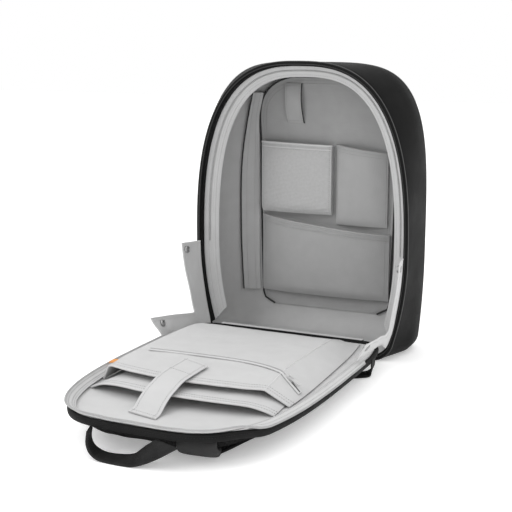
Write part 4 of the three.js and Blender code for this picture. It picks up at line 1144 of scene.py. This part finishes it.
# Place, turn and swing in degrees, and slant
HANDLE_ROWS = [
    (-58, -549.5, 34, 0, 20, 0), (-59.5, -550, 22, 0, 20, 0), (-56, -551, 11.5, 0, 18, 0),
    (-46, -552, 5, 1, 10, 0), (-32, -552.5, 2.9, 3, 3, 0), (-18, -552.5, 3.2, 8, 0, 0),
    (-6, -552.5, 4.2, 14, 0, 0), (4, -552.5, 6.4, 24, 0, 0), (13, -552.3, 11, 38, 0, 0),
    (22, -552, 16.4, 51, 0, 0), (34, -551.5, 23.8, 62, 0, 2), (41, -551, 28.4, 67, 0, 7),
    (47, -550.4, 32.4, 72, 0, 12.6),
]
line = spline(HANDLE_ROWS, HANDLE["rows"])
run = unit(np.gradient(line[:, :3], axis=0))
angle, swing = np.radians(line[:, 3:4]), np.radians(line[:, 4])
level = np.zeros(HANDLE["rows"])
lean = unit(np.column_stack([run[:, 2], level, -run[:, 0]])) * -np.sin(angle)
cross = np.column_stack([-np.sin(swing), np.cos(swing), level]) * np.cos(angle) + lean
reach = cross * HANDLE["half"] - run * line[:, 5:6]
handle = line[:, None, :3] + reach[:, None] * across_steps(9)[None, :, None]
cloth(
    "grab_handle_webbing", "grab_handle", handle, WEBBING, "webbing_black",
    thickness=HANDLE["thickness"],
)
up = normals_of(handle)
for share in (0.14, 0.86):
    for face in (up, -up):
        sew("black", column(handle, share), column(face, share), 1.6)

# Shoulder straps: distance, middle, width and fullness
SHOULDER_ROWS = np.array([
    (-504, 55, 48, 0.8), (-498, 56, 56, 1), (-440, 66, 63, 1), (-380, 79, 65, 1), (-310, 92, 62, 1),
    (-250, 98, 54, 1), (-212, 99, 46, 0.94), (-204, 99, 40, 0.55),
])
SHOULDER_SIDES, SHRINK, STRAP_CLEAR = 28, 1.6, 0.3
# Webbing: place, and turn in degrees
WEB_ROWS = np.array([
    (99, -178.5, 2.4, 0), (100, -164, 1.2, 12), (110, -148, 1.2, 38), (130, -131, 1.2, 50), (144, -122, 3, 64),
    (149, -120, 11, 80), (150, -120, 27.4, 84),
])
WEB = {"half": 12.5, "thickness": 1.8}
# Sewn ends: place, width and thickness
STRAP_END = {
    "left": [
        (-58, -483, 11, 30, 4), (-58, -482, 9, 46, 10), (-58.5, -479, 8, 52, 13), (-60, -472, 8, 54, 13.5),
        (-61, -462, 8, 55, 13.5),
    ],
    "right": [
        (74, -524, 35, 46, 5), (74, -528, 31.5, 48, 8), (73.5, -528.5, 27.8, 49, 9), (72.5, -526, 23.6, 50, 10),
        (70, -519, 17.5, 51, 11), (66, -508, 11.4, 52, 12), (60, -494, 8, 54, 13),
    ],
}
STRAP_START, STRAP_STOP = {"left": -470, "right": -498}, -205.5
STRAP_YAW = 0.1
turns = round_turns(SHOULDER_SIDES, 0.5)
over, up = (np.sign(wave) * np.abs(wave) ** 0.5 for wave in (np.cos(turns), np.sin(turns)))
for side_name, side in SIDES:
    ys = np.linspace(STRAP_START[side_name], STRAP_STOP, 49)
    centre, width, swell = read_rows(SHOULDER_ROWS, ys)
    rings = []
    for y, x, wide, full in zip(ys, centre, width, swell):
        top = pad_underside(y) - GAP
        height = np.where(up < 0, (1 + up) * top / 2, mix(top / 2, top, up * full))
        height = mix(top / 2, height, 1 - 2 * SHRINK / top)
        rings.append(grid_of(side * x + over * (wide / 2 - SHRINK), y, height))
    name = f"shoulder_strap_{side_name}"
    mesh = inflated(
        name, loft_mesh(rings), voxel=5, cap=5, lowest=lambda y: FLOOR_GAP,
        highest=lambda y: pad_underside(y) - STRAP_CLEAR,
    )
    strap_pad = piece(f"{name}_pad", mesh, AIR_MESH, "air_mesh", [name], sharp=80)
    strap_pad.modifiers.new("smooth", "SUBSURF")
    edges = [
        grid_of(side * centre + edge * (width / 2 + 0.2), ys, (pad_underside(ys) - GAP) / 2) for edge in (-1, 1)
    ]
    piece(f"{name}_binding", merged([tube_mesh(edge, 2.0) for edge in edges]), BINDING, "binding_black")
    line = spline(STRAP_END[side_name], 33)
    run = unit(np.gradient(line[:, 1:3], axis=0))
    rings = []
    for (x, y, z, wide, thick), (back, rise) in zip(line, run):
        reach = over * wide / 2
        y = y + reach * STRAP_YAW - up * rise * thick / 2
        rings.append(grid_of(x + reach, y, z + up * back * thick / 2))
    end = piece(f"{name}_end", loft_mesh(rings), STRAP_END_PAINTED_LIGHT, "webbing_black", sharp=60)
    line = spline(WEB_ROWS, 49)
    angle, spread = np.radians(line[:, 3:4]), across_steps(7) * WEB["half"]
    x = side * (line[:, :1] + np.cos(angle) * spread)
    web = grid_of(x, line[:, 1:2] - np.sin(angle) * spread, line[:, 2:3])
    name = f"strap_webbing_{side_name}"
    cloth(
        f"{name}_band", name, web, WEBBING, "webbing_black",
        thickness=WEB["thickness"],
    )

THREADS = {
    "light": (LIGHT_THREAD, "light_grey"), "grey": (GREY_THREAD, "lining_grey"),
    "black": (BLACK_THREAD, "binding_black"),
}
for thread, rows in SEWN.items():
    piece(f"stitching_{thread}", merged(rows), *THREADS[thread], sharp=80)

# Rigid nodes kept from the CAD model, with rounded edges
for name, material, width in (
    ("strap_adjuster_left", PLASTIC, 0.9), ("strap_adjuster_right", PLASTIC, 0.9),
    ("pocket_zip_slider", PULL_METAL, 0.3), ("pocket_zip_pull", PULL_METAL, 0.3),
):
    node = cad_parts[name]
    node.material_slots[0].material = material
    bevel = node.modifiers.new("edges", "BEVEL")
    bevel.width = width * MM
    bevel.segments = 2

# ---- floor
FLOOR_HALF = 6
floor_data = bpy.data.meshes.new("floor")
floor_data.from_pydata(
    [(x * FLOOR_HALF, y * FLOOR_HALF, 0) for x, y in ((-1, -1), (1, -1), (1, 1), (-1, 1))], [], [(0, 1, 2, 3)],
)
FLOOR = surface("pale_floor", 250, 253, 0.9, 0.01, 0.0, blotch=0.4)
set_inputs(FLOOR.node_tree.nodes["Principled BSDF"], {"Emission Color": WHITE, "Emission Strength": 0.3})
floor_data.materials.append(FLOOR)
floor = linked("floor", floor_data)
